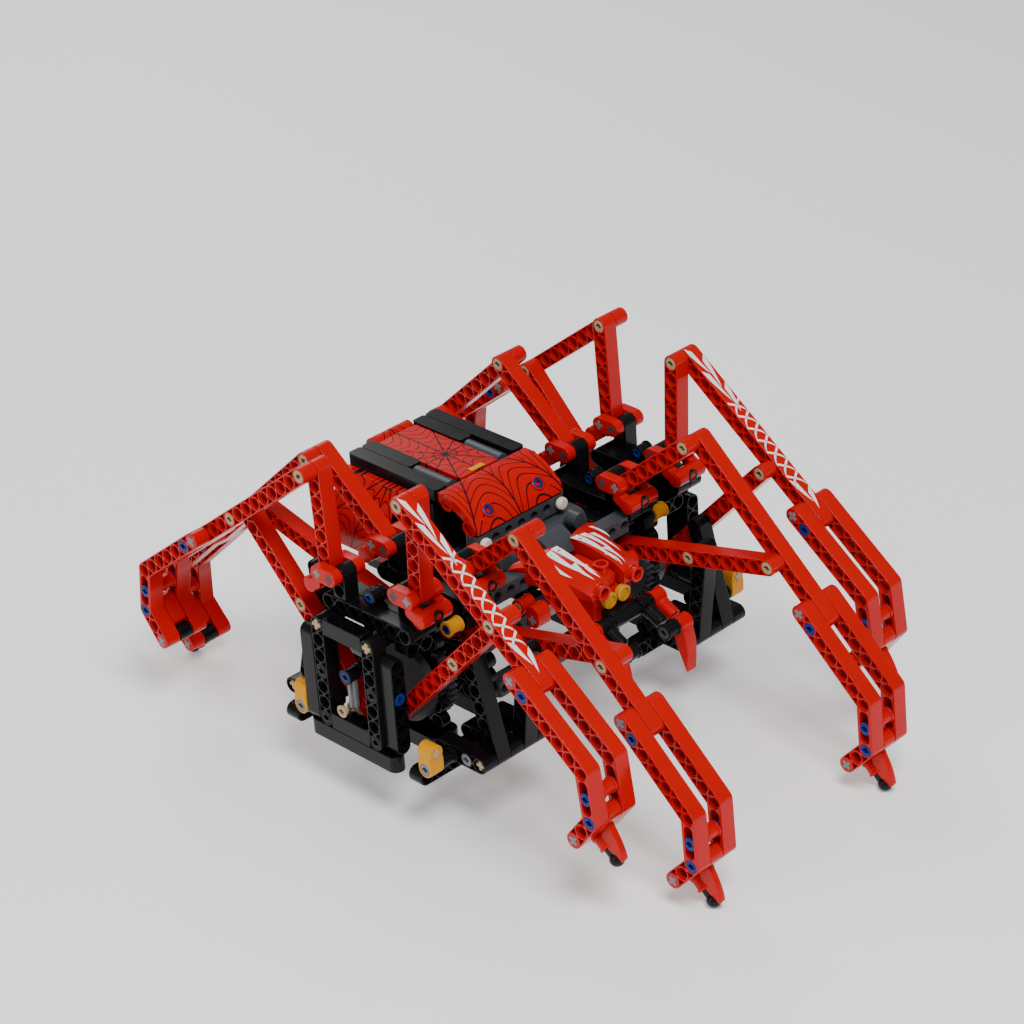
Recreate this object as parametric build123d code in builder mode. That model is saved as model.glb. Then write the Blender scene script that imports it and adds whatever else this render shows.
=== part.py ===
"""Eight-legged walking kit: a crank-driven linkage walker on an 8 mm grid.

X runs across the body (+X is the walker's own left), -Y is its front, +Z is up.
Every piece sits on the grid of the kit's pin holes, so lengths are counted in pitches.
Each leg is the same seven-point linkage.  A crank pin pushes an arm, the arm is held by a
lower rocker, and the thigh hangs between the arm and an upper rocker.
"""
from build123d import *
import math
import os

# ---- driving dimensions -------------------------------------------------------------
PITCH = 8.0  # distance between neighbouring pin holes
BEAM = 7.8  # width and thickness of a beam
HOLE_R = 2.4  # pin hole
PIN_R = 2.35  # pin or round axle, 0.05 mm smaller than its hole
BORE_R = 3.1  # counterbore at each mouth of a pin hole
BORE_DEPTH = 0.8
CROSS = 4.8  # cross axle hole, tip to tip
CROSS_ARM = 1.8  # width of one bar of the cross
GAP = 0.1  # seam between pieces that are pushed together
SLIM = 0.48  # half the width of a beam in pitches, less its seam

# linkage, in pitches, seen from the side: y is the distance out from the crank
CRANK_Y, CRANK_Z = 0, -7
CRANK_THROW = 2
UPPER_PIVOT_Y, UPPER_PIVOT_Z = 3, 0
LOWER_PIVOT_Y, LOWER_PIVOT_Z = 7, -9
UPPER_ROCKER = 6
LOWER_ROCKER = 6
ARM_INNER = 8  # crank pin to lower rocker
ARM_OUTER = 6  # lower rocker to thigh
THIGH_TO_ARM = 8  # hip to arm pivot
THIGH_HOLES = 13
SHIN_START = 11  # first shin hole, counted from the hip
SHIN_STRAIGHT = 6  # straight part of the shin, to its first bend
SHIN_BEND = 45.0
SHIN_MIDDLE = 2 * math.sqrt(2)
SHIN_END = 2

# where each leg of one side sits: (front or rear, crank angle, plane across the body)
LEGS = {
    "fo": (-1, -90, 11),
    "ro": (1, -90, 12),
    "fi": (-1, 90, 7),
    "ri": (1, 90, 8),
}
LOWER_PLANE = {"fo": 9, "ro": 10, "fi": 7, "ri": 8}
SIDES = {"r": -1, "l": 1}

# joiners and feet
JOINER_HALF = BEAM / 2 - GAP
FOOT_REACH = 2
SPACER_SHARE = 0.52  # how far down the middle stretch of a shin its spacer sits
BALL_R = 3.4
STUD_R = 2.0

# gearbox
OUTER_PLANE = 12
MIDDLE_PLANE = 8.5
INNER_PLANE = 5
FRAME_MID_Y, FRAME_MID_Z = 1, -6
FRAME_WIDE, FRAME_TALL = 5, 7
MIDDLE_PLATE = 4.8
GEAR_TEETH = 40
PINION_TEETH = 24
PINION_Z = CRANK_Z + 4
DISC = 4.4  # thickness of a crank disc
DECK_Z = -2
BASE_Z = -10
BASE_RAILS = ((OUTER_PLANE, BASE_Z), (9, BASE_Z - 0.25), (8, BASE_Z - 0.25), (INNER_PLANE, BASE_Z))
CORNER_X = 11.72  # upright beams at the front corners
BLOCK_X = 12.1  # connector blocks outside the lower pivots
BUSH_Y, BUSH_Z = -3.1, -2.85  # round connectors under the front of the deck

os.makedirs("parts", exist_ok=True)


# ---- linkage ------------------------------------------------------------------------
def meet(a, reach_a, b, reach_b):
    """The point at reach_a from a and reach_b from b, to the left of the way from a to b."""
    gap = math.dist(a, b)
    along = (reach_a**2 - reach_b**2 + gap**2) / (2 * gap)
    aside = math.sqrt(reach_a**2 - along**2)
    ey, ez = (b[0] - a[0]) / gap, (b[1] - a[1]) / gap
    return (a[0] + ey * along - ez * aside, a[1] + ez * along + ey * aside)


def toward(a, b, distance):
    """The point that far from a on the line through b."""
    gap = math.dist(a, b)
    return (a[0] + (b[0] - a[0]) * distance / gap, a[1] + (b[1] - a[1]) * distance / gap)


def turned(start, direction, distance):
    """The point at a distance from start, along a direction in degrees."""
    angle = math.radians(direction)
    return (start[0] + distance * math.cos(angle), start[1] + distance * math.sin(angle))


def linkage(crank_angle):
    """Every pivot of one leg, in pitches, for a crank angle in degrees."""
    crank = turned((CRANK_Y, CRANK_Z), crank_angle, CRANK_THROW)
    lower = (LOWER_PIVOT_Y, LOWER_PIVOT_Z)
    upper = (UPPER_PIVOT_Y, UPPER_PIVOT_Z)
    knuckle = meet(crank, ARM_INNER, lower, LOWER_ROCKER)
    elbow = toward(crank, knuckle, ARM_INNER + ARM_OUTER)
    hip = meet(upper, UPPER_ROCKER, elbow, THIGH_TO_ARM)
    slope = math.degrees(math.atan2(elbow[1] - hip[1], elbow[0] - hip[0]))
    shin_start = turned(hip, slope, SHIN_START)
    knee = turned(shin_start, slope, SHIN_STRAIGHT)
    heel = turned(knee, slope - SHIN_BEND, SHIN_MIDDLE)
    toe = turned(heel, slope - 2 * SHIN_BEND, SHIN_END)
    return {
        "crank": crank, "lower": lower, "upper": upper, "knuckle": knuckle, "elbow": elbow,
        "hip": hip, "slope": slope, "shin_start": shin_start, "knee": knee, "heel": heel,
        "toe": toe, "ball": turned(toe, slope, FOOT_REACH),
    }


STANDING = linkage(90)
GROUND = STANDING["ball"][1] * PITCH - BALL_R


def side_plane(x):
    """A plane across the body at x mm: its own x runs along +Y and its own y along +Z."""
    return Plane(origin=(x, 0, -GROUND), x_dir=(0, 1, 0), z_dir=(1, 0, 0))


def front_plane(y):
    """A plane facing forward at y mm: its own x runs along +X and its own y along +Z."""
    return Plane(origin=(0, y, -GROUND), x_dir=(1, 0, 0), z_dir=(0, -1, 0))


def top_plane(z):
    """A level plane at z mm above the upper pivots."""
    return Plane.XY.offset(z - GROUND)


def mm(point, end=1):
    """A linkage point in mm, mirrored to the front for end = -1."""
    return (end * point[0] * PITCH, point[1] * PITCH)


# ---- building blocks ----------------------------------------------------------------
def bar(start, stop, width=BEAM):
    """A round-ended strip between two points, inside the sketch being built."""
    length = math.dist(start, stop)
    angle = math.degrees(math.atan2(stop[1] - start[1], stop[0] - start[0]))
    with Locations(((start[0] + stop[0]) / 2, (start[1] + stop[1]) / 2)):
        SlotCenterToCenter(length, width, rotation=angle)


def cross_hole(point, angle=0):
    """A cross axle hole, cut out of the sketch being built."""
    with Locations(point):
        Rectangle(CROSS, CROSS_ARM, rotation=angle, mode=Mode.SUBTRACT)
        Rectangle(CROSS_ARM, CROSS, rotation=angle, mode=Mode.SUBTRACT)


def lever(plane_x, path, holes, crosses=(), slot=None):
    """A beam in a side plane along a path, with counterbored pin holes and cross holes."""
    with BuildPart() as made:
        with BuildSketch(side_plane(plane_x)):
            for start, stop in zip(path, path[1:]):
                bar(start, stop)
            with Locations(*holes):
                Circle(HOLE_R, mode=Mode.SUBTRACT)
            for point, angle in crosses:
                cross_hole(point, angle)
            if slot:
                length = math.dist(*slot)
                angle = math.degrees(math.atan2(slot[1][1] - slot[0][1], slot[1][0] - slot[0][0]))
                with Locations(((slot[0][0] + slot[1][0]) / 2, (slot[0][1] + slot[1][1]) / 2)):
                    SlotCenterToCenter(length, 2 * HOLE_R, rotation=angle, mode=Mode.SUBTRACT)
        extrude(amount=BEAM / 2, both=True)
        for mouth in (-1, 1):
            with BuildSketch(side_plane(plane_x + mouth * BEAM / 2)):
                with Locations(*holes):
                    Circle(BORE_R)
            extrude(amount=-mouth * BORE_DEPTH, mode=Mode.SUBTRACT)
    return made.part


def rod(point, x_from, x_to, radius=PIN_R):
    """A pin or axle across the body, through a side-plane point."""
    with BuildPart() as made:
        with BuildSketch(side_plane(min(x_from, x_to))):
            with Locations(point):
                Circle(radius)
        extrude(amount=abs(x_to - x_from))
    return made.part


def cross_axle(point, angle, x_from, x_to):
    """A cross-shaped axle across the body, a seam smaller than its hole."""
    with BuildPart() as made:
        with BuildSketch(side_plane(min(x_from, x_to))):
            with Locations(point):
                Rectangle(CROSS - GAP, CROSS_ARM - GAP, rotation=angle)
                Rectangle(CROSS_ARM - GAP, CROSS - GAP, rotation=angle)
                Circle(PIN_R, mode=Mode.INTERSECT)
        extrude(amount=abs(x_to - x_from))
    return made.part


def tube(point, x_from, x_to, radius=BEAM / 2 - GAP, inner=HOLE_R):
    """A round pin joiner across the body."""
    with BuildPart() as made:
        with BuildSketch(side_plane(min(x_from, x_to))):
            with Locations(point):
                Circle(radius)
                Circle(inner, mode=Mode.SUBTRACT)
        extrude(amount=abs(x_to - x_from))
    return made.part


def box(x_from, x_to, y_from, y_to, z_from, z_to, fillet_r=0):
    """A block between limits in pitches, its upright edges rounded."""
    with BuildPart() as made:
        with BuildSketch(top_plane(z_from * PITCH)):
            with Locations(((x_from + x_to) / 2 * PITCH, (y_from + y_to) / 2 * PITCH)):
                wide, deep = abs(x_to - x_from) * PITCH, abs(y_to - y_from) * PITCH
                if fillet_r:
                    RectangleRounded(wide, deep, fillet_r)
                else:
                    Rectangle(wide, deep)
        extrude(amount=(z_to - z_from) * PITCH)
    return made.part


def evenly(start, stop, count):
    """Points spread evenly from start to stop, both included."""
    steps = count - 1
    return [
        (start[0] + (stop[0] - start[0]) * i / steps, start[1] + (stop[1] - start[1]) * i / steps)
        for i in range(count)
    ]


def save(name, *pieces):
    """One named node holding one or more separate solids."""
    with BuildPart() as node:
        for piece in pieces:
            add(piece)
    node.part.label = name
    export_step(node.part, f"parts/{name}.step")
    return node.part


# ---- legs ---------------------------------------------------------------------------
def upper_rocker(side, key):
    """Seven-hole beam from the yoke up to the hip."""
    end, crank_angle, plane = LEGS[key]
    joint = linkage(crank_angle)
    upper, hip = mm(joint["upper"], end), mm(joint["hip"], end)
    return lever(side * (plane - 1) * PITCH, [upper, hip], evenly(upper, hip, UPPER_ROCKER + 1))


def thigh(side, key):
    """Thirteen-hole beam with the hip and elbow pins, each ending in a pin joiner."""
    end, crank_angle, plane = LEGS[key]
    joint = linkage(crank_angle)
    hip = joint["hip"]
    tip = mm(turned(hip, joint["slope"], THIGH_HOLES - 1), end)
    holes = evenly(mm(hip, end), tip, THIGH_HOLES)
    crossed = (holes[SHIN_START], end * joint["slope"])
    round_holes = [hole for hole in holes if hole is not crossed[0]]
    beam = lever(side * plane * PITCH, [mm(hip, end), tip], round_holes, [crossed])
    outboard = side * (plane * PITCH + BEAM / 2 - BORE_DEPTH)
    joiner = [side * ((plane - 2) * PITCH + reach) for reach in (-JOINER_HALF, JOINER_HALF)]
    pivots = [mm(joint[pivot], end) for pivot in ("hip", "elbow")]
    pins = [rod(pivot, joiner[0], outboard) for pivot in pivots]
    return [beam, *pins, *(tube(pivot, *joiner) for pivot in pivots)]


def shin(side, key):
    """Two double-bent beams, one each side of the thigh, joined by the foot between them."""
    end, crank_angle, plane = LEGS[key]
    joint = linkage(crank_angle)
    start, knee, heel, toe = (mm(joint[p], end) for p in ("shin_start", "knee", "heel", "toe"))
    straight = evenly(start, knee, SHIN_STRAIGHT + 1)
    ankle = evenly(heel, toe, SHIN_END + 1)
    round_holes = [*straight[1:], *ankle[:-1]]
    tilt = end * joint["slope"]
    crosses = [(start, tilt), (toe, tilt)]
    slot = (toward(knee, heel, 1.0 * PITCH), toward(heel, knee, 1.0 * PITCH))
    beams = [
        lever((side * plane + offset) * PITCH, [start, knee, heel, toe], round_holes, crosses, slot)
        for offset in (-1, 1)
    ]
    return [*beams, *foot(side, key)]


def foot(side, key):
    """The ball foot, the claw over it, the spacer between the beams, and their pins."""
    end, crank_angle, plane = LEGS[key]
    joint = linkage(crank_angle)
    slope = joint["slope"]
    toe, ball, heel = (mm(joint[p], end) for p in ("toe", "ball", "heel"))
    neck = toward(ball, toe, 0.2 * PITCH)
    middle = side_plane(side * plane * PITCH)
    reach = side * ((plane + 1) * PITCH + BEAM / 2 - BORE_DEPTH)
    near = side * ((plane - 1) * PITCH - BEAM / 2 + BORE_DEPTH)
    with BuildPart() as stud:
        with BuildSketch(middle):
            with Locations(toe):
                Circle(BEAM / 2)
                Circle(HOLE_R, mode=Mode.SUBTRACT)
            bar(mm(turned(joint["toe"], slope, 0.45), end), neck, 2 * STUD_R)
            with Locations(toe):
                Circle(HOLE_R, mode=Mode.SUBTRACT)
        extrude(amount=STUD_R, both=True)
        with Locations(middle.location * Pos(ball[0], ball[1], 0)):
            Sphere(BALL_R)

    def claw_point(along, across):
        return mm(turned(turned(joint["heel"], slope, along), slope + 90, across), end)

    with BuildPart() as claw:
        with BuildSketch(middle):
            with BuildLine():
                ThreePointArc(claw_point(-0.2, 0.42), claw_point(1.3, -0.1), claw_point(2.2, -1.4))
                Line(claw_point(2.2, -1.4), claw_point(1.5, -1.6))
                Line(claw_point(1.5, -1.6), claw_point(0.35, -1.2))
                Line(claw_point(0.35, -1.2), claw_point(-0.2, 0.42))
            make_face()
            with Locations(heel):
                Circle(BEAM / 2)
                Circle(HOLE_R, mode=Mode.SUBTRACT)
        extrude(amount=JOINER_HALF, both=True)
    spacer = mm(toward(joint["knee"], joint["heel"], SPACER_SHARE * SHIN_MIDDLE), end)
    centre = side * plane * PITCH
    return [
        stud.part,
        claw.part,
        tube(spacer, centre - JOINER_HALF, centre + JOINER_HALF),
        *(rod(point, near, reach) for point in (spacer, heel)),
        cross_axle(toe, end * slope, near, reach),
    ]


def arm(side, key):
    """Fifteen-hole connecting arm, with the pins of its two open ends pushed into it."""
    end, crank_angle, plane = LEGS[key]
    joint = linkage(crank_angle)
    crank, elbow = mm(joint["crank"], end), mm(joint["elbow"], end)
    plane_x = side * (plane - 1) * PITCH
    beam = lever(plane_x, [crank, elbow], evenly(crank, elbow, ARM_INNER + ARM_OUTER + 1))
    half = BEAM / 2 - BORE_DEPTH
    pins = [rod(mm(joint[p], end), plane_x - half, plane_x + half) for p in ("crank", "knuckle")]
    return [beam, *pins]


def lower_rocker(side, key):
    """Seven-hole beam from the base up to the arm."""
    end, crank_angle, _ = LEGS[key]
    joint = linkage(crank_angle)
    lower, knuckle = mm(joint["lower"], end), mm(joint["knuckle"], end)
    plane_x = side * LOWER_PLANE[key] * PITCH
    return lever(plane_x, [lower, knuckle], evenly(lower, knuckle, LOWER_ROCKER + 1))


for side_name, side in SIDES.items():
    for key in LEGS:
        save(f"upper_rocker_{key}_{side_name}", upper_rocker(side, key))
        save(f"thigh_{key}_{side_name}", *thigh(side, key))
        save(f"shin_{key}_{side_name}", *shin(side, key))
        save(f"arm_{key}_{side_name}", *arm(side, key))
        save(f"lower_rocker_{key}_{side_name}", lower_rocker(side, key))


# ---- cranks and gears ---------------------------------------------------------------
def gear(centre, teeth, x_from, thickness, bore, turn=0.0):
    """A spur gear of 1 mm tooth size, its teeth a little slim so that they never bind."""
    pitch_r = teeth / 2
    root_r, tip_r = pitch_r - 1.25, pitch_r + 0.9
    root_half, tip_half = 0.85, 0.32
    with BuildPart() as made:
        with BuildSketch(side_plane(x_from)):
            with Locations(centre):
                Circle(root_r)
                with PolarLocations(0, teeth, start_angle=turn):
                    Polygon(
                        (root_r - 0.4, -root_half),
                        (root_r, -root_half),
                        (tip_r, -tip_half),
                        (tip_r, tip_half),
                        (root_r, root_half),
                        (root_r - 0.4, root_half),
                        align=None,
                    )
                Circle(bore, mode=Mode.SUBTRACT)
        extrude(amount=thickness)
    return made.part


def crank(side):
    """Outer and inner crank discs on one axle, the inner one cut as the driven gear."""
    centre = mm((CRANK_Y, CRANK_Z))
    inner_from = 7.6 * PITCH
    outer_from = 8.85 * PITCH
    discs = []
    for start, is_gear in ((inner_from, True), (outer_from, False)):
        x_from = start if side > 0 else -start - DISC
        if is_gear:
            discs.append(gear(centre, GEAR_TEETH, x_from, DISC, HOLE_R))
        else:
            discs.append(tube(centre, x_from, x_from + DISC, radius=GEAR_TEETH / 2 - 1.25))
    axle = rod(centre, side * inner_from, side * (outer_from + DISC))
    return [*discs, axle]


def pinion(side):
    """The driving gear on the motor's shaft."""
    centre = mm((CRANK_Y, PINION_Z))
    start = 7.6 * PITCH
    x_from = start if side > 0 else -start - DISC
    wheel = gear(centre, PINION_TEETH, x_from, DISC, HOLE_R, turn=180 / PINION_TEETH)
    shaft = rod(centre, side * 4.1 * PITCH, side * (start + DISC))
    return [wheel, shaft]


def motor(side):
    """A can motor lying across the body, open at its mouth for the shaft."""
    with BuildPart() as made:
        x_from = 0.6 if side > 0 else -4.3
        with BuildSketch(side_plane(x_from * PITCH)):
            with Locations(mm((CRANK_Y, PINION_Z))):
                RectangleRounded(2.6 * PITCH, 2.6 * PITCH, 6)
        extrude(amount=3.7 * PITCH)
        x_mouth = 4.3 * PITCH if side > 0 else -4.3 * PITCH
        with BuildSketch(side_plane(x_mouth)):
            with Locations(mm((CRANK_Y, PINION_Z))):
                Circle(HOLE_R)
        extrude(amount=-side * 0.4 * PITCH, mode=Mode.SUBTRACT)
    return made.part


for side_name, side in SIDES.items():
    save(f"crank_{side_name}", *crank(side))
    save(f"pinion_{side_name}", *pinion(side))
save("drive_motors", *(motor(side) for side in SIDES.values()))


# ---- gearbox ------------------------------------------------------------------------
def side_frame(side):
    """Open five by seven frame that closes the outer side of a gearbox."""
    x = side * OUTER_PLANE * PITCH
    middle = mm((FRAME_MID_Y, FRAME_MID_Z))
    upright_y = (FRAME_WIDE - 1) / 2 * PITCH
    upright_z = (FRAME_TALL - 1) / 2 * PITCH
    with BuildPart() as made:
        with BuildSketch(side_plane(x)):
            with Locations(middle):
                RectangleRounded(FRAME_WIDE * PITCH, FRAME_TALL * PITCH, BEAM / 2)
                Rectangle((FRAME_WIDE - 2) * PITCH, (FRAME_TALL - 2) * PITCH, mode=Mode.SUBTRACT)
                with GridLocations(2 * upright_y, 2 * upright_z / 3, 2, 4):
                    Circle(HOLE_R, mode=Mode.SUBTRACT)
        extrude(amount=BEAM / 2, both=True)
        for z in (FRAME_MID_Z + FRAME_TALL / 2, FRAME_MID_Z - FRAME_TALL / 2 + 1):
            with BuildSketch(top_plane(z * PITCH)):
                with Locations((x, FRAME_MID_Y * PITCH)):
                    with GridLocations(PITCH, PITCH, 1, 3):
                        Circle(HOLE_R)
            extrude(amount=-PITCH, mode=Mode.SUBTRACT)
    return made.part


def bearing_plate(side, plane, thickness, y_from, y_to):
    """Upright plate with the crank bearing and the pinion bearing."""
    x = side * plane * PITCH
    low, high = FRAME_MID_Z - FRAME_TALL / 2, FRAME_MID_Z + FRAME_TALL / 2
    with BuildPart() as made:
        with BuildSketch(side_plane(x)):
            with Locations(mm(((y_from + y_to) / 2, (low + high) / 2))):
                RectangleRounded((y_to - y_from) * PITCH, (high - low) * PITCH, BEAM / 2)
            with Locations(mm((CRANK_Y, CRANK_Z)), mm((CRANK_Y, PINION_Z))):
                Circle(HOLE_R, mode=Mode.SUBTRACT)
            with Locations(mm((-2, CRANK_Z)), mm((2, CRANK_Z)), mm((-2, -5)), mm((2, -5))):
                Circle(HOLE_R, mode=Mode.SUBTRACT)
        extrude(amount=thickness / 2, both=True)
    return made.part


save(
    "gearbox_frames",
    *(side_frame(side) for side in SIDES.values()),
    *(bearing_plate(side, MIDDLE_PLANE, MIDDLE_PLATE, -2.5, 3.5) for side in SIDES.values()),
    *(bearing_plate(side, INNER_PLANE, BEAM, -2.5, 2.5) for side in SIDES.values()),
)


def run(x_from, x_to, y_from, y_to, z, holes_up=True):
    """A straight square beam on the grid, in pitches, with one row of pin holes."""
    clear = GAP / PITCH
    along_x = abs(x_to - x_from) > abs(y_to - y_from)
    low_x, high_x = min(x_from, x_to), max(x_from, x_to)
    with BuildPart() as made:
        add(box(low_x + clear, high_x - clear, y_from + clear, y_to - clear,
                z - 0.5 + clear, z + 0.5 - clear, fillet_r=2.0))
        middle = ((low_x + high_x) / 2 * PITCH, (y_from + y_to) / 2 * PITCH)
        count = round(max(high_x - low_x, y_to - y_from))
        if holes_up:
            with BuildSketch(top_plane((z - 0.5) * PITCH)):
                with Locations(middle):
                    with GridLocations(PITCH, PITCH, count if along_x else 1, 1 if along_x else count):
                        Circle(HOLE_R)
            extrude(amount=PITCH, mode=Mode.SUBTRACT)
        elif along_x:
            with BuildSketch(front_plane(y_to * PITCH)):
                with Locations((middle[0], z * PITCH)):
                    with GridLocations(PITCH, PITCH, count, 1):
                        Circle(HOLE_R)
            extrude(amount=(y_to - y_from) * PITCH, mode=Mode.SUBTRACT)
        else:
            with BuildSketch(side_plane(low_x * PITCH)):
                with Locations((middle[1], z * PITCH)):
                    with GridLocations(PITCH, PITCH, count, 1):
                        Circle(HOLE_R)
            extrude(amount=(high_x - low_x) * PITCH, mode=Mode.SUBTRACT)
    return made.part


def gearbox_beams(side):
    """Deck beams, base rails, cross rails and the outriggers that hold the lower pivots."""
    deck = [
        run(side * (p - 0.5), side * (p + 0.5), -3.5, 3.5, DECK_Z, False) for p in (6, 7, 10, 11)
    ]
    base = [run(side * (p - 0.5), side * (p + 0.5), -2.5, 4.5, z) for p, z in BASE_RAILS]
    cross = [run(side * 4.5, side * 12.5, y - 0.5, y + 0.5, BASE_Z, False) for y in (-4, 6)]
    return [*deck, *base, *cross]


def outriggers(side):
    """Beams that reach out to the lower pivots, with the axle each pair of rockers turns on."""
    made = []
    for end, planes, start in ((-1, (6, 8, 10), 3.5), (1, (7, 9, 11), 3.5)):
        lower = mm((LOWER_PIVOT_Y, LOWER_PIVOT_Z), end)
        for p in planes:
            inner = mm((start + 0.5, LOWER_PIVOT_Z), end)
            count = LOWER_PIVOT_Y - int(start)
            made.append(lever(side * p * PITCH, [inner, lower], evenly(inner, lower, count + 1)))
        low, high = min(planes) - 0.4, max(planes) + 0.4
        made.append(rod(lower, side * low * PITCH, side * high * PITCH))
    return made


def corner_beams(side):
    """Upright beams at the front and rear corners of a gearbox, and the short beam over the arms."""
    made = []
    for y, reach in ((-2, CORNER_X), (4, CORNER_X + 0.3)):
        x = side * reach
        made.append(box(x - SLIM, x + SLIM, y - SLIM, y + SLIM, -9.45, -3.5, fillet_r=1.5))
    low_x, high_x = sorted((side * 8.82, side * (CORNER_X - 0.52)))
    made.append(box(low_x, high_x, -2.48, -1.52, -3.95, -3.0, fillet_r=1.5))
    return made


def outer_blocks(side):
    """Connector blocks outside the lower pivots, each on a bush and a pin from the outrigger."""
    made = []
    for y, first in ((-5, 10), (5, 11)):
        inner = (first + 0.5) * PITCH + GAP
        outer = (BLOCK_X - 0.5) * PITCH - GAP
        low, high = (y, LOWER_PIVOT_Z), (y, LOWER_PIVOT_Z + 1)
        x = side * BLOCK_X * PITCH
        made.append(lever(x, [mm(low), mm(high)], [mm(low)], [(mm(high), 0)]))
        made.append(rod(mm(low), side * (first - 0.4) * PITCH, side * (BLOCK_X + 0.4) * PITCH))
        if outer - inner > 1:
            made.append(tube(mm(low), side * inner, side * outer))
    return made


def deck_bushes(side):
    """Round connector that points outward under the front of the deck, on its hanger."""
    hanger = box(*sorted((side * 6.6, side * 7.4)), -3.5, -2.7, -3.3, -2.55)
    bush = tube(mm((BUSH_Y, BUSH_Z)), side * 7.6 * PITCH, side * 8.6 * PITCH)
    return [hanger, bush, rod(mm((BUSH_Y, BUSH_Z)), side * 7.42 * PITCH, side * 8.5 * PITCH)]


def tie_tubes(side):
    """Pin joiners that hold the side frame and the bearing plates apart."""
    plate = MIDDLE_PLATE / 2 + GAP
    middle_out, middle_in = MIDDLE_PLANE * PITCH + plate, MIDDLE_PLANE * PITCH - plate
    outer = OUTER_PLANE * PITCH - BEAM / 2 - GAP
    inner = INNER_PLANE * PITCH + BEAM / 2 + GAP
    long_ties = [tube(mm((y, -3)), side * middle_out, side * outer) for y in (-1, 3)]
    short_ties = [tube(mm((y, -3)), side * inner, side * middle_in) for y in (-2.15, 2.15)]
    return [*long_ties, *short_ties]


save(
    "gearbox_beams",
    *(piece for side in SIDES.values() for piece in gearbox_beams(side)),
    *(piece for side in SIDES.values() for piece in outriggers(side)),
    *(piece for side in SIDES.values() for piece in tie_tubes(side)),
    *(piece for side in SIDES.values() for piece in corner_beams(side)),
    *(piece for side in SIDES.values() for piece in outer_blocks(side)),
    *(piece for side in SIDES.values() for piece in deck_bushes(side)),
)


# ---- yokes and posts ----------------------------------------------------------------
YOKE_THICK = 0.62 * PITCH
YOKE_CLEAR = 0.3


def yoke(side, key):
    """Split connector that holds the foot of an upper rocker, with the axle it turns on."""
    end, _, plane = LEGS[key]
    x = side * (plane - 1) * PITCH
    pivot, rest = mm((UPPER_PIVOT_Y, UPPER_PIVOT_Z), end), mm((UPPER_PIVOT_Y - 1, 0), end)
    inner = BEAM / 2 + YOKE_CLEAR
    cheeks = []
    for offset in (-1, 1):
        face = x + offset * inner
        with BuildPart() as cheek:
            with BuildSketch(side_plane(face)):
                bar(pivot, rest)
                with Locations(pivot, rest):
                    Circle(HOLE_R, mode=Mode.SUBTRACT)
            extrude(amount=offset * YOKE_THICK)
        cheeks.append(cheek.part)
    bridge_y, bridge_z = mm((UPPER_PIVOT_Y + 0.75, -0.95), end)
    with BuildPart() as made:
        for cheek in cheeks:
            add(cheek)
        with BuildSketch(side_plane(x - inner - YOKE_THICK)):
            with Locations((bridge_y, bridge_z)):
                Circle(BEAM / 2)
            bar((bridge_y, bridge_z), (pivot[0] + end * 1.0, pivot[1] - 5.2), 4.4)
        extrude(amount=2 * (inner + YOKE_THICK))
        with BuildSketch(front_plane(end * (UPPER_PIVOT_Y + 1.4) * PITCH)):
            with Locations((x, bridge_z)):
                Circle(HOLE_R)
        extrude(amount=end * 2 * PITCH, mode=Mode.SUBTRACT)
        with BuildSketch(side_plane(x)):
            with Locations(pivot):
                Circle(BEAM / 2 + YOKE_CLEAR)
        extrude(amount=inner, both=True, mode=Mode.SUBTRACT)
    reach = inner + YOKE_THICK
    axles = [rod(point, x - reach, x + reach) for point in (pivot,)]
    return [made.part, *axles]


def post(side, key):
    """Upright connector from the deck to the inner end of a yoke."""
    end, _, plane = LEGS[key]
    x = side * (plane - 1) * PITCH
    rest, hole, base = (mm((UPPER_PIVOT_Y - 1, z), end) for z in (0, -1, -1.5))
    with BuildPart() as made:
        with BuildSketch(side_plane(x)):
            bar(rest, hole)
            with Locations((base[0], base[1] + BEAM / 4 + GAP)):
                Rectangle(BEAM, BEAM / 2)
            with Locations(rest, hole):
                Circle(HOLE_R, mode=Mode.SUBTRACT)
        extrude(amount=BEAM / 2, both=True)
    inner = BEAM / 2 + YOKE_CLEAR
    reach = inner + YOKE_THICK
    return [made.part, rod(rest, x - reach, x + reach)]


places = [(side, key) for side in SIDES.values() for key in LEGS]
save("rocker_yokes", *(piece for place in places for piece in yoke(*place)))
save("yoke_posts", *(piece for place in places for piece in post(*place)))


# ---- body ---------------------------------------------------------------------------
BODY_TOP = 1.4  # top of the abdomen, in pitches above the upper pivots
BODY_FRONT, BODY_REAR = 2.6, 9.8
RAIL_X = 3
PANEL_HALF = 1.5
LAMP_BAR_Y = -0.45
LAMP_R = 3.0


def barrel(centre, y_from, y_to, radius):
    """A round piece that points forward, in pitches."""
    with BuildPart() as made:
        with BuildSketch(front_plane(y_to * PITCH)):
            with Locations((centre[0] * PITCH, centre[1] * PITCH)):
                Circle(radius)
        extrude(amount=(y_to - y_from) * PITCH)
    return made.part


def slope_neck():
    """Curved grey slope that drops from the body to the head."""
    with BuildPart() as made:
        with BuildSketch(side_plane(-0.98 * PITCH)):
            with BuildLine():
                ThreePointArc((-2.45 * PITCH, -0.75 * PITCH), (-3.3 * PITCH, -1.05 * PITCH),
                              (-3.85 * PITCH, -1.75 * PITCH))
                Line((-3.85 * PITCH, -1.75 * PITCH), (-2.45 * PITCH, -1.75 * PITCH))
                Line((-2.45 * PITCH, -1.75 * PITCH), (-2.45 * PITCH, -0.75 * PITCH))
            make_face()
        extrude(amount=1.96 * PITCH)
    return made.part


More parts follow.
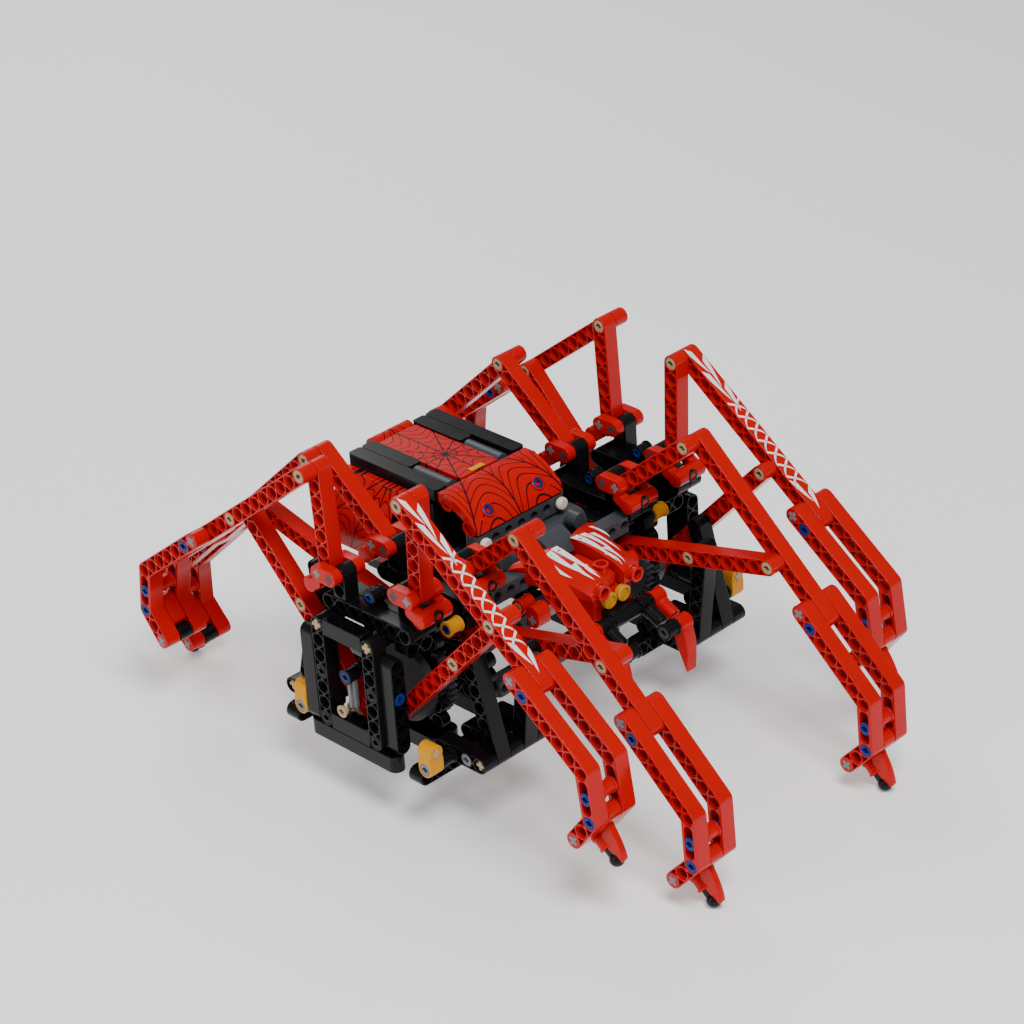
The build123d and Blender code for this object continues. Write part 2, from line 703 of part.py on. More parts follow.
save(
    "spine",
    slope_neck(),
    box(-1.4, 1.4, -4.55, -3.6, -4.2, -2.65),
    *(run(-4.5, 4.5, y - 0.5, y + 0.5, z, False) for y in (-2, 2) for z in (-3, -9)),
    run(-5.5, 5.5, -3.5, -2.5, DECK_Z - 0.3, False),
    run(-3.5, 3.5, LAMP_BAR_Y, LAMP_BAR_Y + 1, -1.0, False),
    *(barrel((s * 2.95, -1.55), -2.1, -1.32, BEAM / 2) for s in (-1, 1)),
    *(barrel((s * 2, 0.95), 2.9, 5.7, BEAM / 2 - GAP) for s in (-1, 1)),
)
save("battery_box", box(-3.4, 3.4, 2.65, 9.4, -5.6, 0.45, fillet_r=4.0))
save(
    "abdomen_rails",
    *(box(s * RAIL_X - SLIM, s * RAIL_X + SLIM, BODY_FRONT, BODY_REAR, 0.8, BODY_TOP + 0.1,
          fillet_r=1.5) for s in (-1, 1)),
    *(box(s * 2.0 - SLIM, s * 2.0 + SLIM, 5.8, BODY_REAR, 0.8, BODY_TOP + 0.1, fillet_r=1.5)
      for s in (-1, 1)),
)
save(
    "abdomen_panel",
    box(-PANEL_HALF + 0.02, PANEL_HALF - 0.02, BODY_FRONT + 0.1, BODY_REAR - 0.35, 0.8, BODY_TOP,
        fillet_r=1.5),
    rod(mm((BODY_REAR + 0.2, 1.0)), -1.48 * PITCH, 1.48 * PITCH, BEAM / 2),
)


def bonnet():
    """Curved hood from the front of the abdomen down to the lamps."""
    with BuildPart() as made:
        with BuildSketch(side_plane(-3.4 * PITCH)):
            with BuildLine():
                top = (2.5 * PITCH, BODY_TOP * PITCH)
                crest = (1.1 * PITCH, 1.15 * PITCH)
                lip = (-0.45 * PITCH, -0.35 * PITCH)
                ThreePointArc(top, crest, lip)
                Line(lip, (0.05 * PITCH, -0.35 * PITCH))
                ThreePointArc((0.05 * PITCH, -0.35 * PITCH), (1.2 * PITCH, 0.6 * PITCH),
                              (2.5 * PITCH, 0.8 * PITCH))
                Line((2.5 * PITCH, 0.8 * PITCH), top)
            make_face()
        extrude(amount=6.8 * PITCH)
    return made.part


save("bonnet", bonnet())


def fairing(side):
    """Bowed side panel that hangs from a rail and flares out as it drops."""
    with BuildPart() as made:
        with BuildSketch(front_plane(9.6 * PITCH)):
            with BuildLine():
                top_in = (side * 3.6 * PITCH, 0.9 * PITCH)
                top_out = (side * 4.1 * PITCH, 0.9 * PITCH)
                low_out = (side * 5.2 * PITCH, -3.4 * PITCH)
                low_in = (side * 4.8 * PITCH, -3.4 * PITCH)
                ThreePointArc(top_out, (side * 5.15 * PITCH, -1.0 * PITCH), low_out)
                Line(low_out, low_in)
                ThreePointArc(low_in, (side * 4.7 * PITCH, -1.0 * PITCH), top_in)
                Line(top_in, top_out)
            make_face()
        extrude(amount=4.8 * PITCH)
    return made.part


save("side_fairings", *(fairing(side) for side in SIDES.values()))


# ---- head ---------------------------------------------------------------------------
def head_wedge(side):
    """Sloping red cheek beside the head's round pin."""
    with BuildPart() as made:
        with BuildSketch(top_plane(-2.6 * PITCH)):
            with BuildLine():
                Polyline(
                    (side * 0.62 * PITCH, -7.3 * PITCH),
                    (side * 2.0 * PITCH, -7.3 * PITCH),
                    (side * 2.6 * PITCH, -4.2 * PITCH),
                    (side * 0.62 * PITCH, -3.9 * PITCH),
                    close=True,
                )
            make_face()
        extrude(amount=1.2 * PITCH)
        outer = made.faces().filter_by(Axis.Z).sort_by(Axis.Z)[-1].edges()
        chamfer(outer.filter_by(Axis.X, tolerance=12).sort_by(Axis.Y)[0], 0.7 * PITCH, 1.1 * PITCH)
    return made.part


save("head_cheeks", *(head_wedge(side) for side in SIDES.values()))
save(
    "eyes_and_lamps",
    *(barrel((s * 0.55, -3.05), -7.75, -7.33, 4.0) for s in (-1, 1)),
    *(barrel((s * 2.98, -0.95), LAMP_BAR_Y - 0.4, LAMP_BAR_Y - 0.01, LAMP_R) for s in (-1, 1)),
    box(-0.5, 0.5, 2.75, 3.1, BODY_TOP, BODY_TOP + 0.06),
)


# ---- jaws ---------------------------------------------------------------------------
JAW_PIVOT = (-8.05, -4.05)
JAW_TURN = 206  # direction of the upper jaw links, in degrees
JAW_LINK = 2.1
JAW_LINK_R = 3.2
JAW_PLANES = (1.08, 2.02, 2.06, 3.0)  # inner and outer faces of the two links side by side


def jaw_link(x_from, x_to, end_gap):
    """Tee-shaped link: a hub across the head and a round leg towards the knuckle."""
    hub = mm(JAW_PIVOT)
    leg_end = mm(turned(JAW_PIVOT, JAW_TURN, JAW_LINK - end_gap))
    middle = (x_from + x_to) / 2
    direction = math.radians(JAW_TURN)
    start = Plane(
        origin=(middle, hub[0], hub[1] - GROUND),
        x_dir=(1, 0, 0),
        z_dir=(0, math.cos(direction), math.sin(direction)),
    )
    with BuildPart() as made:
        with BuildSketch(side_plane(min(x_from, x_to))):
            with Locations(hub):
                Circle(BEAM / 2)
        extrude(amount=abs(x_to - x_from))
        with BuildSketch(start):
            Circle(JAW_LINK_R)
        extrude(amount=math.dist(hub, leg_end))
        with BuildSketch(side_plane(min(x_from, x_to))):
            with Locations(hub):
                Circle(HOLE_R)
        extrude(amount=abs(x_to - x_from), mode=Mode.SUBTRACT)
    return made.part


def jaw_claw(x_from, x_to):
    """Curved pointed claw on a hub at the knuckle."""
    knuckle = turned(JAW_PIVOT, JAW_TURN, JAW_LINK)
    hub = mm(knuckle)
    root_out = mm(turned(knuckle, 140, 0.47))
    root_in = mm(turned(knuckle, 320, 0.47))
    tip = mm((knuckle[0] - 0.62, knuckle[1] - 2.85))
    crest = mm((knuckle[0] - 0.62, knuckle[1] - 1.3))
    with BuildPart() as made:
        with BuildSketch(side_plane(min(x_from, x_to))):
            with Locations(hub):
                Circle(BEAM / 2)
            with BuildLine():
                ThreePointArc(root_out, crest, tip)
                Line(tip, root_in)
                Line(root_in, root_out)
            make_face()
            with Locations(hub):
                Circle(HOLE_R, mode=Mode.SUBTRACT)
        extrude(amount=abs(x_to - x_from))
    return made.part


def jaw(side):
    """Two links on the jaw axle, a ring at the knuckle and the claw beside it."""
    inner, inner_end, outer, outer_end = (side * p * PITCH for p in JAW_PLANES)
    knuckle = mm(turned(JAW_PIVOT, JAW_TURN, JAW_LINK))
    return [
        jaw_link(inner, inner_end, end_gap=0.55),
        jaw_link(outer, outer_end, end_gap=0.55),
        tube(knuckle, inner, inner_end, radius=BEAM / 2),
        jaw_claw(outer, outer_end),
        rod(knuckle, inner, outer_end),
    ]


for side_name, side in SIDES.items():
    save(f"jaw_{side_name}", *jaw(side))
with BuildPart() as jaw_bracket:
    add(box(-0.98, 0.98, JAW_PIVOT[0] - 0.4, -7.31, JAW_PIVOT[1] - 0.45, JAW_PIVOT[1] + 0.45))
    with BuildSketch(side_plane(-PITCH)):
        with Locations(mm(JAW_PIVOT)):
            Circle(HOLE_R)
    extrude(amount=2 * PITCH, mode=Mode.SUBTRACT)
save(
    "head_block",
    box(-1.45, 1.45, -7.3, -4.6, -4.2, -2.65, fillet_r=1.5),
    box(-SLIM, SLIM, -7.1, -4.0, -2.6, -1.75, fillet_r=1.0),
    jaw_bracket.part,
    rod(mm(JAW_PIVOT), -3.1 * PITCH, 3.1 * PITCH),
)
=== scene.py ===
import math

import bmesh
import bpy
from mathutils import Matrix, Vector
from mathutils.geometry import tessellate_polygon


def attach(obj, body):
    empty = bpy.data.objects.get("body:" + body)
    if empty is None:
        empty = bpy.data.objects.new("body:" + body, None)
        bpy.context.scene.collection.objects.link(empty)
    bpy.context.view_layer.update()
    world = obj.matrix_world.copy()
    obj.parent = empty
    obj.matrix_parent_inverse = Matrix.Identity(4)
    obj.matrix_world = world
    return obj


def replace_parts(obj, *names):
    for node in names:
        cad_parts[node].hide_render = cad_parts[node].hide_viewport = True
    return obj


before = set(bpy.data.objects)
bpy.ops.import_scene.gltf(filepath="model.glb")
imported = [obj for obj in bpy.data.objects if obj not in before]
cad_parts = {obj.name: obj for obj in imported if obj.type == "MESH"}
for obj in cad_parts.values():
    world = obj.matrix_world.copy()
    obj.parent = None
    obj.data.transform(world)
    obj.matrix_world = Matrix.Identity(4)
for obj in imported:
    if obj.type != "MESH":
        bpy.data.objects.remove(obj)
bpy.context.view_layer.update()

# ---- sizes, in millimetres ----------------------------------------------------------
PITCH = 8.0  # from hole to hole
HALF = 3.9  # half the width of a beam
HOLE_R = 2.4
BORE_R = 3.1  # counterbore at the ends of a hole
BORE_DEPTH = 0.8
RING_R = 3.65  # outside of the ring round each hole
PIT_DEPTH = 2.0
EDGE_R = 0.3
RIM_SHARE = 0.3  # where a rounded rim has its middle row
PIN_R, PIN_HOLLOW_R, PIN_SLOT_REACH, PIN_SLOT_HALF = 2.3, 1.35, 1.9, 0.35
COLLAR_R = 3.0
BLADE_HALF, CLAW_HALF = 1.7, 3.8
LIFT = 109.65  # height of the upper pivots above the ground

# ---- mesh steps ---------------------------------------------------------------------
SEGMENTS = 20  # sides of a hole
ROUND = 28  # sides of a round part
FINE_ROUND = 32  # sides of an eye, a lamp or a stud
BEND_STEPS = 4  # pieces of a strip's outer bend
CAP_STEPS = 8  # pieces of a strip's round end
LEAST_MITRE = 0.3  # keeps a sharp corner from running away when an outline grows

# ---- places, in pitches from the middle of the upper pivots -------------------------
SIDES = {"r": -1, "l": 1}
# Each leg: front or rear, the crank's angle at rest, the plane of its thigh.
LEGS = {"fo": (-1, -90, 11), "ro": (1, -90, 12), "fi": (-1, 90, 7), "ri": (1, 90, 8)}
LOWER_PLANE = {"fo": 9, "ro": 10, "fi": 7, "ri": 8}
UPPER_PIVOT, LOWER_PIVOT, CRANK = (3, 0), (7, -9), (0, -7)
THROW, ARM_INNER, ARM_OUTER, ROCKER, THIGH_TO_ARM = 2, 8, 6, 6, 8
THIGH, SHIN_START, KNEE = 12, 11, 17  # along the thigh, from the hip
DIAGONAL = 2 * math.sqrt(2)
SHIN_LENGTH = 2  # from the heel to the toe, and from the toe to the ball
SHIN_BEND = 45
SLOT_SHARE = 0.52  # where the spacer sits between the knee and the heel


# ---- plane geometry -----------------------------------------------------------------
def meet(a, reach_a, b, reach_b):
    """The point at reach_a from a and reach_b from b, to the left of the way from a to b."""
    gap = math.dist(a, b)
    along = (reach_a**2 - reach_b**2 + gap**2) / (2 * gap)
    aside = math.sqrt(reach_a**2 - along**2)
    ey, ez = (b[0] - a[0]) / gap, (b[1] - a[1]) / gap
    return (a[0] + ey * along - ez * aside, a[1] + ez * along + ey * aside)


def turned(start, degrees, distance):
    """The point at a distance from start in a direction."""
    angle = math.radians(degrees)
    return (start[0] + distance * math.cos(angle), start[1] + distance * math.sin(angle))


def heading(a, b):
    """Direction from a to b in degrees."""
    return math.degrees(math.atan2(b[1] - a[1], b[0] - a[0]))


def linkage(crank_angle):
    """Every pivot of a rear leg, in pitches."""
    crank = turned(CRANK, crank_angle, THROW)
    knuckle = meet(crank, ARM_INNER, LOWER_PIVOT, ROCKER)
    elbow = turned(crank, heading(crank, knuckle), ARM_INNER + ARM_OUTER)
    hip = meet(UPPER_PIVOT, ROCKER, elbow, THIGH_TO_ARM)
    slope = heading(hip, elbow)
    knee = turned(hip, slope, KNEE)
    heel = turned(knee, slope - SHIN_BEND, DIAGONAL)
    toe = turned(heel, slope - 2 * SHIN_BEND, SHIN_LENGTH)
    return {
        "crank": crank, "knuckle": knuckle, "elbow": elbow, "hip": hip, "slope": slope,
        "tip": turned(hip, slope, THIGH), "start": turned(hip, slope, SHIN_START),
        "knee": knee, "heel": heel, "toe": toe, "ball": turned(toe, slope, SHIN_LENGTH),
        "spacer": turned(knee, slope - SHIN_BEND, DIAGONAL * SLOT_SHARE),
    }


def evenly(a, b, count):
    """Points from a to b, both included."""
    return [
        (a[0] + (b[0] - a[0]) * i / (count - 1), a[1] + (b[1] - a[1]) * i / (count - 1))
        for i in range(count)
    ]


def scaled(points, end=1):
    """Side-plane points from pitches to millimetres, mirrored for a front leg."""
    return [(end * p[0] * PITCH, p[1] * PITCH) for p in points]


def circle(centre, radius, count=SEGMENTS):
    """A round loop."""
    step = 2 * math.pi / count
    return [
        (centre[0] + radius * math.cos(i * step), centre[1] + radius * math.sin(i * step))
        for i in range(count)
    ]


def local(loop, centre, degrees):
    """A loop turned and moved to a centre."""
    c, s = math.cos(math.radians(degrees)), math.sin(math.radians(degrees))
    return [(centre[0] + c * u - s * v, centre[1] + s * u + c * v) for u, v in loop]


def area(loop):
    """Signed area of a loop."""
    return sum(a[0] * b[1] - a[1] * b[0] for a, b in zip(loop, loop[1:] + loop[:1])) / 2


def grown(loop, distance):
    """A loop moved outward by a distance, or inward if it is negative."""
    if area(loop) < 0:
        loop = loop[::-1]
    result = []
    for i, here in enumerate(loop):
        before, after = loop[i - 1], loop[(i + 1) % len(loop)]
        n1 = Vector((here[1] - before[1], before[0] - here[0])).normalized()
        n2 = Vector((after[1] - here[1], here[0] - after[0])).normalized()
        way = n1 + n2
        way = way / max(way.length_squared / 2, LEAST_MITRE)
        result.append((here[0] + way.x * distance, here[1] + way.y * distance))
    return result


def strip(path, half=HALF):
    """Outline of a round-ended strip along a path."""
    def side(points):
        """One long edge, to the right of the way along the points."""
        made = []
        for i, here in enumerate(points):
            if i in (0, len(points) - 1):
                continue
            a, b = heading(points[i - 1], here), heading(here, points[i + 1])
            bend = (b - a + 180) % 360 - 180
            if bend > 0:
                made += [turned(here, a - 90 + bend * k / BEND_STEPS, half)
                         for k in range(BEND_STEPS + 1)]
            else:
                mitre = half / math.cos(math.radians(bend / 2))
                made.append(turned(here, a - 90 + bend / 2, mitre))
        return made

    def cap(centre, start):
        """A half circle round an end of the path."""
        return [turned(centre, start + 180 * k / CAP_STEPS, half) for k in range(CAP_STEPS + 1)]

    first, last = heading(path[0], path[1]), heading(path[-2], path[-1])
    return (side(path) + cap(path[-1], last - 90) + side(path[::-1])
            + cap(path[0], first + 90))


def cross(reach, half):
    """Outline of a cross with four equal bars."""
    corner = [(reach, -half), (reach, half), (half, half)]
    return [local([point], (0, 0), 90 * k)[0] for k in range(4) for point in corner]


PLUS = cross(HOLE_R, 0.9)
PIT_HEIGHTS = (3.3, 2.9, 2.2, 1.5, 0.8)  # rows of a pit's two curved sides
PIT_SIDE = [(RING_R**2 - h**2) ** 0.5 - PITCH / 2 for h in PIT_HEIGHTS]
PIT = [(x, h) for x, h in zip(PIT_SIDE, PIT_HEIGHTS)]
PIT += [(-x, h) for x, h in zip(PIT_SIDE[::-1], PIT_HEIGHTS[::-1])]


# ---- meshes -------------------------------------------------------------------------
class Shape:
    """Vertices and faces gathered for one mesh. A loop lies in the side plane, at a depth."""

    def __init__(self):
        self.verts, self.faces = [], []

    def ring(self, loop, depth):
        """Adds a loop's vertices and returns their numbers."""
        start = len(self.verts)
        self.verts += [(depth, u, v) for u, v in loop]
        return list(range(start, start + len(loop)))

    def wall(self, a, b):
        """Joins two rings of the same length."""
        n = len(a)
        self.faces += [(a[i], a[(i + 1) % n], b[(i + 1) % n], b[i]) for i in range(n)]

    def cap(self, rings):
        """Fills the first ring, leaving the others open."""
        flat = [i for ring in rings for i in ring]
        loops = [[Vector((self.verts[i][1], self.verts[i][2], 0)) for i in ring] for ring in rings]
        self.faces += [tuple(flat[i] for i in t) for t in tessellate_polygon(loops)]

    def mesh(self, name, angle=50):
        """The finished mesh in metres, smooth except at real edges."""
        data = bpy.data.meshes.new(name)
        data.from_pydata([[c / 1000 for c in v] for v in self.verts], [], self.faces)
        work = bmesh.new()
        work.from_mesh(data)
        bmesh.ops.remove_doubles(work, verts=work.verts, dist=1e-6)
        bmesh.ops.dissolve_degenerate(work, dist=1e-7, edges=work.edges)
        bmesh.ops.recalc_face_normals(work, faces=work.faces)
        work.to_mesh(data)
        work.free()
        data.polygons.foreach_set("use_smooth", [True] * len(data.polygons))
        data.set_sharp_from_angle(angle=math.radians(angle))
        return data


def slab(shape, outline, low, high, through=(), bored=(), pits=(), edge=EDGE_R):
    """A flat piece across the body with rounded rims, bored holes, plain holes and blind pits."""
    step = edge * RIM_SHARE
    inset, middle, full = (grown(outline, -distance) for distance in (edge, step, 0))
    rims = [
        shape.ring(loop, depth)
        for loop, depth in (
            (inset, low), (middle, low + step), (full, low + edge),
            (full, high - edge), (middle, high - step), (inset, high),
        )
    ]
    for a, b in zip(rims, rims[1:]):
        shape.wall(a, b)
    bottom, top = [rims[0]], [rims[-1]]
    for loop in through:
        a, b = shape.ring(loop, low), shape.ring(loop, high)
        shape.wall(a, b)
        bottom.append(a)
        top.append(b)
    for centre in bored:
        levels = ((BORE_R, low), (BORE_R, low + BORE_DEPTH), (HOLE_R, low + BORE_DEPTH),
                  (HOLE_R, high - BORE_DEPTH), (BORE_R, high - BORE_DEPTH), (BORE_R, high))
        rings = [shape.ring(circle(centre, r), d) for r, d in levels]
        for a, b in zip(rings, rings[1:]):
            shape.wall(a, b)
        bottom.append(rings[0])
        top.append(rings[-1])
    for loop in pits:
        for level, deep, rings in ((low, PIT_DEPTH, bottom), (high, -PIT_DEPTH, top)):
            a, b = shape.ring(loop, level), shape.ring(loop, level + deep)
            shape.wall(a, b)
            shape.cap([b])
            rings.append(a)
    shape.cap(bottom)
    shape.cap(top)


def pits_between(points):
    """Pit loops above and below the web between neighbouring holes."""
    made = []
    for a, b in zip(points, points[1:]):
        middle, way = ((a[0] + b[0]) / 2, (a[1] + b[1]) / 2), heading(a, b)
        made += [local(PIT, middle, way), local(PIT, middle, way + 180)]
    return made


def beam_mesh(name, path, holes, crosses=(), slots=(), pitted=None):
    """A beam along a path in the side plane, centred across its width."""
    shape = Shape()
    through = [local(PLUS, centre, angle) for centre, angle in crosses]
    through += [strip(slot, HOLE_R) for slot in slots]
    runs = pitted if pitted is not None else [holes]
    pits = [loop for points in runs for loop in pits_between(points)]
    slab(shape, strip(path), -HALF, HALF, through, holes, pits)
    return shape.mesh(name)


# ---- materials ----------------------------------------------------------------------
PLASTIC_IOR = 1.5
COAT_ROUGHNESS = 0.08
SMUDGE_SCALE, SMUDGE_DETAIL = 60, 4  # wide marks of flow and handling
ROUGHNESS_RANGE, TONE_RANGE = (0.75, 1.3), (0.9, 1.08)
GRAIN_SCALE, GRAIN_DETAIL, GRAIN_STRENGTH, GRAIN_HEIGHT = 900, 2, 0.028, 0.0002
INK = (0.006, 0.005, 0.006, 1)
SAG = 0.24  # how far a thread hangs in between two spokes


def noise(tree, place, scale, detail):
    """A noise node on the piece's own coordinates."""
    node = tree.nodes.new("ShaderNodeTexNoise")
    node.inputs["Scale"].default_value = scale
    node.inputs["Detail"].default_value = detail
    tree.links.new(place.outputs["Object"], node.inputs["Vector"])
    return node.outputs["Fac"]


def plastic(name, colour, roughness=0.22, coat=0.05, clear=0.0, shine=0.16):
    """Glossy moulded plastic with faint flow marks, fine bumps and light wear."""
    made = bpy.data.materials.new(name)
    made.use_nodes = True
    nodes, links = made.node_tree.nodes, made.node_tree.links
    shader = nodes["Principled BSDF"]
    shader.inputs["Base Color"].default_value = (*colour, 1)
    shader.inputs["IOR"].default_value = PLASTIC_IOR
    shader.inputs["Specular IOR Level"].default_value = shine
    shader.inputs["Coat Weight"].default_value = coat
    shader.inputs["Coat Roughness"].default_value = COAT_ROUGHNESS
    shader.inputs["Transmission Weight"].default_value = clear
    place = nodes.new("ShaderNodeTexCoord")
    smudge = noise(made.node_tree, place, SMUDGE_SCALE, SMUDGE_DETAIL)
    spread = nodes.new("ShaderNodeMapRange")
    spread.inputs["To Min"].default_value = roughness * ROUGHNESS_RANGE[0]
    spread.inputs["To Max"].default_value = roughness * ROUGHNESS_RANGE[1]
    links.new(smudge, spread.inputs["Value"])
    links.new(spread.outputs["Result"], shader.inputs["Roughness"])
    tone = nodes.new("ShaderNodeMix")
    tone.data_type = "RGBA"
    tone.inputs["A"].default_value = (*[c * TONE_RANGE[0] for c in colour], 1)
    tone.inputs["B"].default_value = (*[c * TONE_RANGE[1] for c in colour], 1)
    links.new(smudge, tone.inputs["Factor"])
    links.new(tone.outputs["Result"], shader.inputs["Base Color"])
    grain = noise(made.node_tree, place, GRAIN_SCALE, GRAIN_DETAIL)
    bump = nodes.new("ShaderNodeBump")
    bump.inputs["Strength"].default_value = GRAIN_STRENGTH
    bump.inputs["Distance"].default_value = GRAIN_HEIGHT
    links.new(grain, bump.inputs["Height"])
    links.new(bump.outputs["Normal"], shader.inputs["Normal"])
    return made


def maths(tree, operation, *values):
    """A maths node with numbers or sockets as its inputs."""
    node = tree.nodes.new("ShaderNodeMath")
    node.operation = operation
    for socket, value in zip(node.inputs, values):
        if isinstance(value, (int, float)):
            socket.default_value = value
        else:
            tree.links.new(value, socket)
    return node.outputs[0]


def webbed(name, colour, centre, spokes, spacing, width, axes=("X", "Y")):
    """Glossy plastic printed with a drawn web: spokes from a centre and sagging threads."""
    made = plastic(name, colour)
    tree = made.node_tree
    shader = tree.nodes["Principled BSDF"]
    place = tree.nodes.new("ShaderNodeTexCoord")
    split = tree.nodes.new("ShaderNodeSeparateXYZ")
    tree.links.new(place.outputs["Object"], split.inputs[0])
    across = maths(tree, "SUBTRACT", split.outputs[axes[0]], centre[0])
    along = maths(tree, "SUBTRACT", split.outputs[axes[1]], centre[1])
    squares = maths(tree, "ADD", maths(tree, "MULTIPLY", across, across),
                    maths(tree, "MULTIPLY", along, along))
    reach = maths(tree, "SQRT", squares)
    angle = maths(tree, "ARCTAN2", across, along)
    turn = maths(tree, "MULTIPLY", angle, spokes / (2 * math.pi))
    off = maths(tree, "SUBTRACT", maths(tree, "FRACT", maths(tree, "ADD", turn, 0.5)), 0.5)
    aside = maths(tree, "MULTIPLY", maths(tree, "ABSOLUTE", off), 2 * math.pi / spokes)
    spoke = maths(tree, "LESS_THAN", maths(tree, "MULTIPLY", aside, reach), width / 2)
    slack = maths(tree, "SUBTRACT", 1, maths(tree, "MULTIPLY", maths(tree, "ABSOLUTE", off), 2))
    taut = maths(tree, "MULTIPLY", maths(tree, "MULTIPLY", slack, slack), SAG)
    stretched = maths(tree, "DIVIDE", reach, maths(tree, "ADD", taut, 1 - SAG))
    phase = maths(tree, "FRACT", maths(tree, "DIVIDE", stretched, spacing))
    thread = maths(tree, "LESS_THAN", phase, width / spacing)
    ink = maths(tree, "MAXIMUM", spoke, thread)
    base = shader.inputs["Base Color"].links[0].from_socket
    mix = tree.nodes.new("ShaderNodeMix")
    mix.data_type = "RGBA"
    mix.inputs["B"].default_value = INK
    tree.links.new(base, mix.inputs["A"])
    tree.links.new(ink, mix.inputs["Factor"])
    tree.links.new(mix.outputs["Result"], shader.inputs["Base Color"])
    return made


RED = (0.50, 0.0, 0.0008)
red = plastic("red_gloss", RED)
black = plastic("black_gloss", (0.005, 0.005, 0.006), roughness=0.24, shine=0.14)
dark_grey = plastic("dark_grey_gloss", (0.05, 0.055, 0.065), roughness=0.28)
light_grey = plastic("light_grey_gloss", (0.19, 0.2, 0.21))
blue = plastic("blue_gloss", (0.004, 0.022, 0.19))
cream = plastic("cream_gloss", (0.42, 0.31, 0.17))
yellow = plastic("yellow_gloss", (0.64, 0.27, 0.0))
white = plastic("white_print", (0.85, 0.85, 0.85), roughness=0.3)
lamp = plastic("lamp_cream", (0.75, 0.72, 0.55), roughness=0.15)
amber = plastic("amber_clear", (0.80, 0.40, 0.02), roughness=0.08, clear=0.35)
ball_black = plastic("ball_black", (0.006, 0.006, 0.007), roughness=0.1)


def put(name, data, material, body, x=0.0, y=0.0, z=0.0, turn=None, slot=None):
    """Places a mesh, in pitches, on a body."""
    piece = bpy.data.objects.new(name, data)
    bpy.context.scene.collection.objects.link(piece)
    place = Matrix.Translation(Vector((x * PITCH, y * PITCH, z * PITCH + LIFT)) / 1000)
    piece.matrix_world = place @ turn if turn is not None else place
    if not data.materials:
        data.materials.append(material)
    if piece.data.materials[0] is not material:
        piece.material_slots[0].link = "OBJECT"
        piece.material_slots[0].material = material
    weighted = piece.modifiers.new("weighted", "WEIGHTED_NORMAL")
    weighted.keep_sharp = True
    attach(piece, body)
    return piece


# ---- small shared parts -------------------------------------------------------------
def facing(holes, along):
    """Rotation that points a straight beam's holes and its length along two axes."""
    first = Vector([float(axis == holes) for axis in "XYZ"])
    second = Vector([float(axis == along) for axis in "XYZ"])
    return Matrix((first, second, first.cross(second))).transposed().to_4x4()


def slotted(radius, reach, half_slot, steps=6):
    """A round hole with a slot across it."""
    start = math.degrees(math.asin(half_slot / radius))
    upper = [turned((0, 0), start + (180 - 2 * start) * k / steps, radius) for k in range(steps + 1)]
    half = [(reach, -half_slot), (reach, half_slot)] + upper
    return half + [(-x, -y) for x, y in half]


PIN_HOLLOW = slotted(PIN_HOLLOW_R, PIN_SLOT_REACH, PIN_SLOT_HALF)


def pin_mesh(name):
    """Both ends of a pin in one hole: a collar round a hollow, slotted stem."""
    shape = Shape()
    stem = (1.4, HALF + 0.02)  # from near the beam's middle to just past its face
    collar = (HALF - BORE_DEPTH + 0.06, HALF - 0.15)  # clear of the counterbore's floor and rim
    rim = 0.12
    for sign in (-1, 1):
        low, high = sorted(sign * depth for depth in stem)
        slab(shape, circle((0, 0), PIN_R), low, high, [PIN_HOLLOW], edge=rim)
        low, high = sorted(sign * depth for depth in collar)
        slab(shape, circle((0, 0), COLLAR_R), low, high, [circle((0, 0), PIN_R)], edge=rim)
    return shape.mesh(name)


def axle_mesh(name, half_length):
    """A cross axle with a small bevel at its ends, a little thinner than its hole."""
    shape = Shape()
    play, bevel = 0.08, 0.18
    slab(shape, grown(PLUS, -play), -half_length, half_length, edge=bevel)
    return shape.mesh(name)


def bush_mesh(name, half_length, radius=3.7, inner=HOLE_R):
    """A round connector with a rim at each end and a waist."""
    shape = Shape()
    rim, waist = 1.2, 0.45
    hole = circle((0, 0), inner)
    for low, high in ((-half_length, -half_length + rim), (half_length - rim, half_length)):
        slab(shape, circle((0, 0), radius, ROUND), low, high, [hole], edge=0.2)
    slab(shape, circle((0, 0), radius - waist, ROUND), -half_length + rim, half_length - rim,
         [hole], edge=0.05)
    return shape.mesh(name)


def block_mesh(name, outline, half, through=(), bored=(), pits=(), edge=EDGE_R):
    """A flat piece with its own outline."""
    shape = Shape()
    slab(shape, outline, -half, half, through, bored, pits, edge)
    return shape.mesh(name)


PIN = pin_mesh("pin_end")
AXLE_SHORT = axle_mesh("axle_short", HALF + 0.5)
AXLE_LONG = axle_mesh("axle_long", PITCH + HALF + 0.35)
BUSH = bush_mesh("bush", HALF)
HALF_BUSH = bush_mesh("half_bush", HALF / 2)
FACE_Y, FACE_Z = facing("Y", "Z"), facing("Z", "Y")


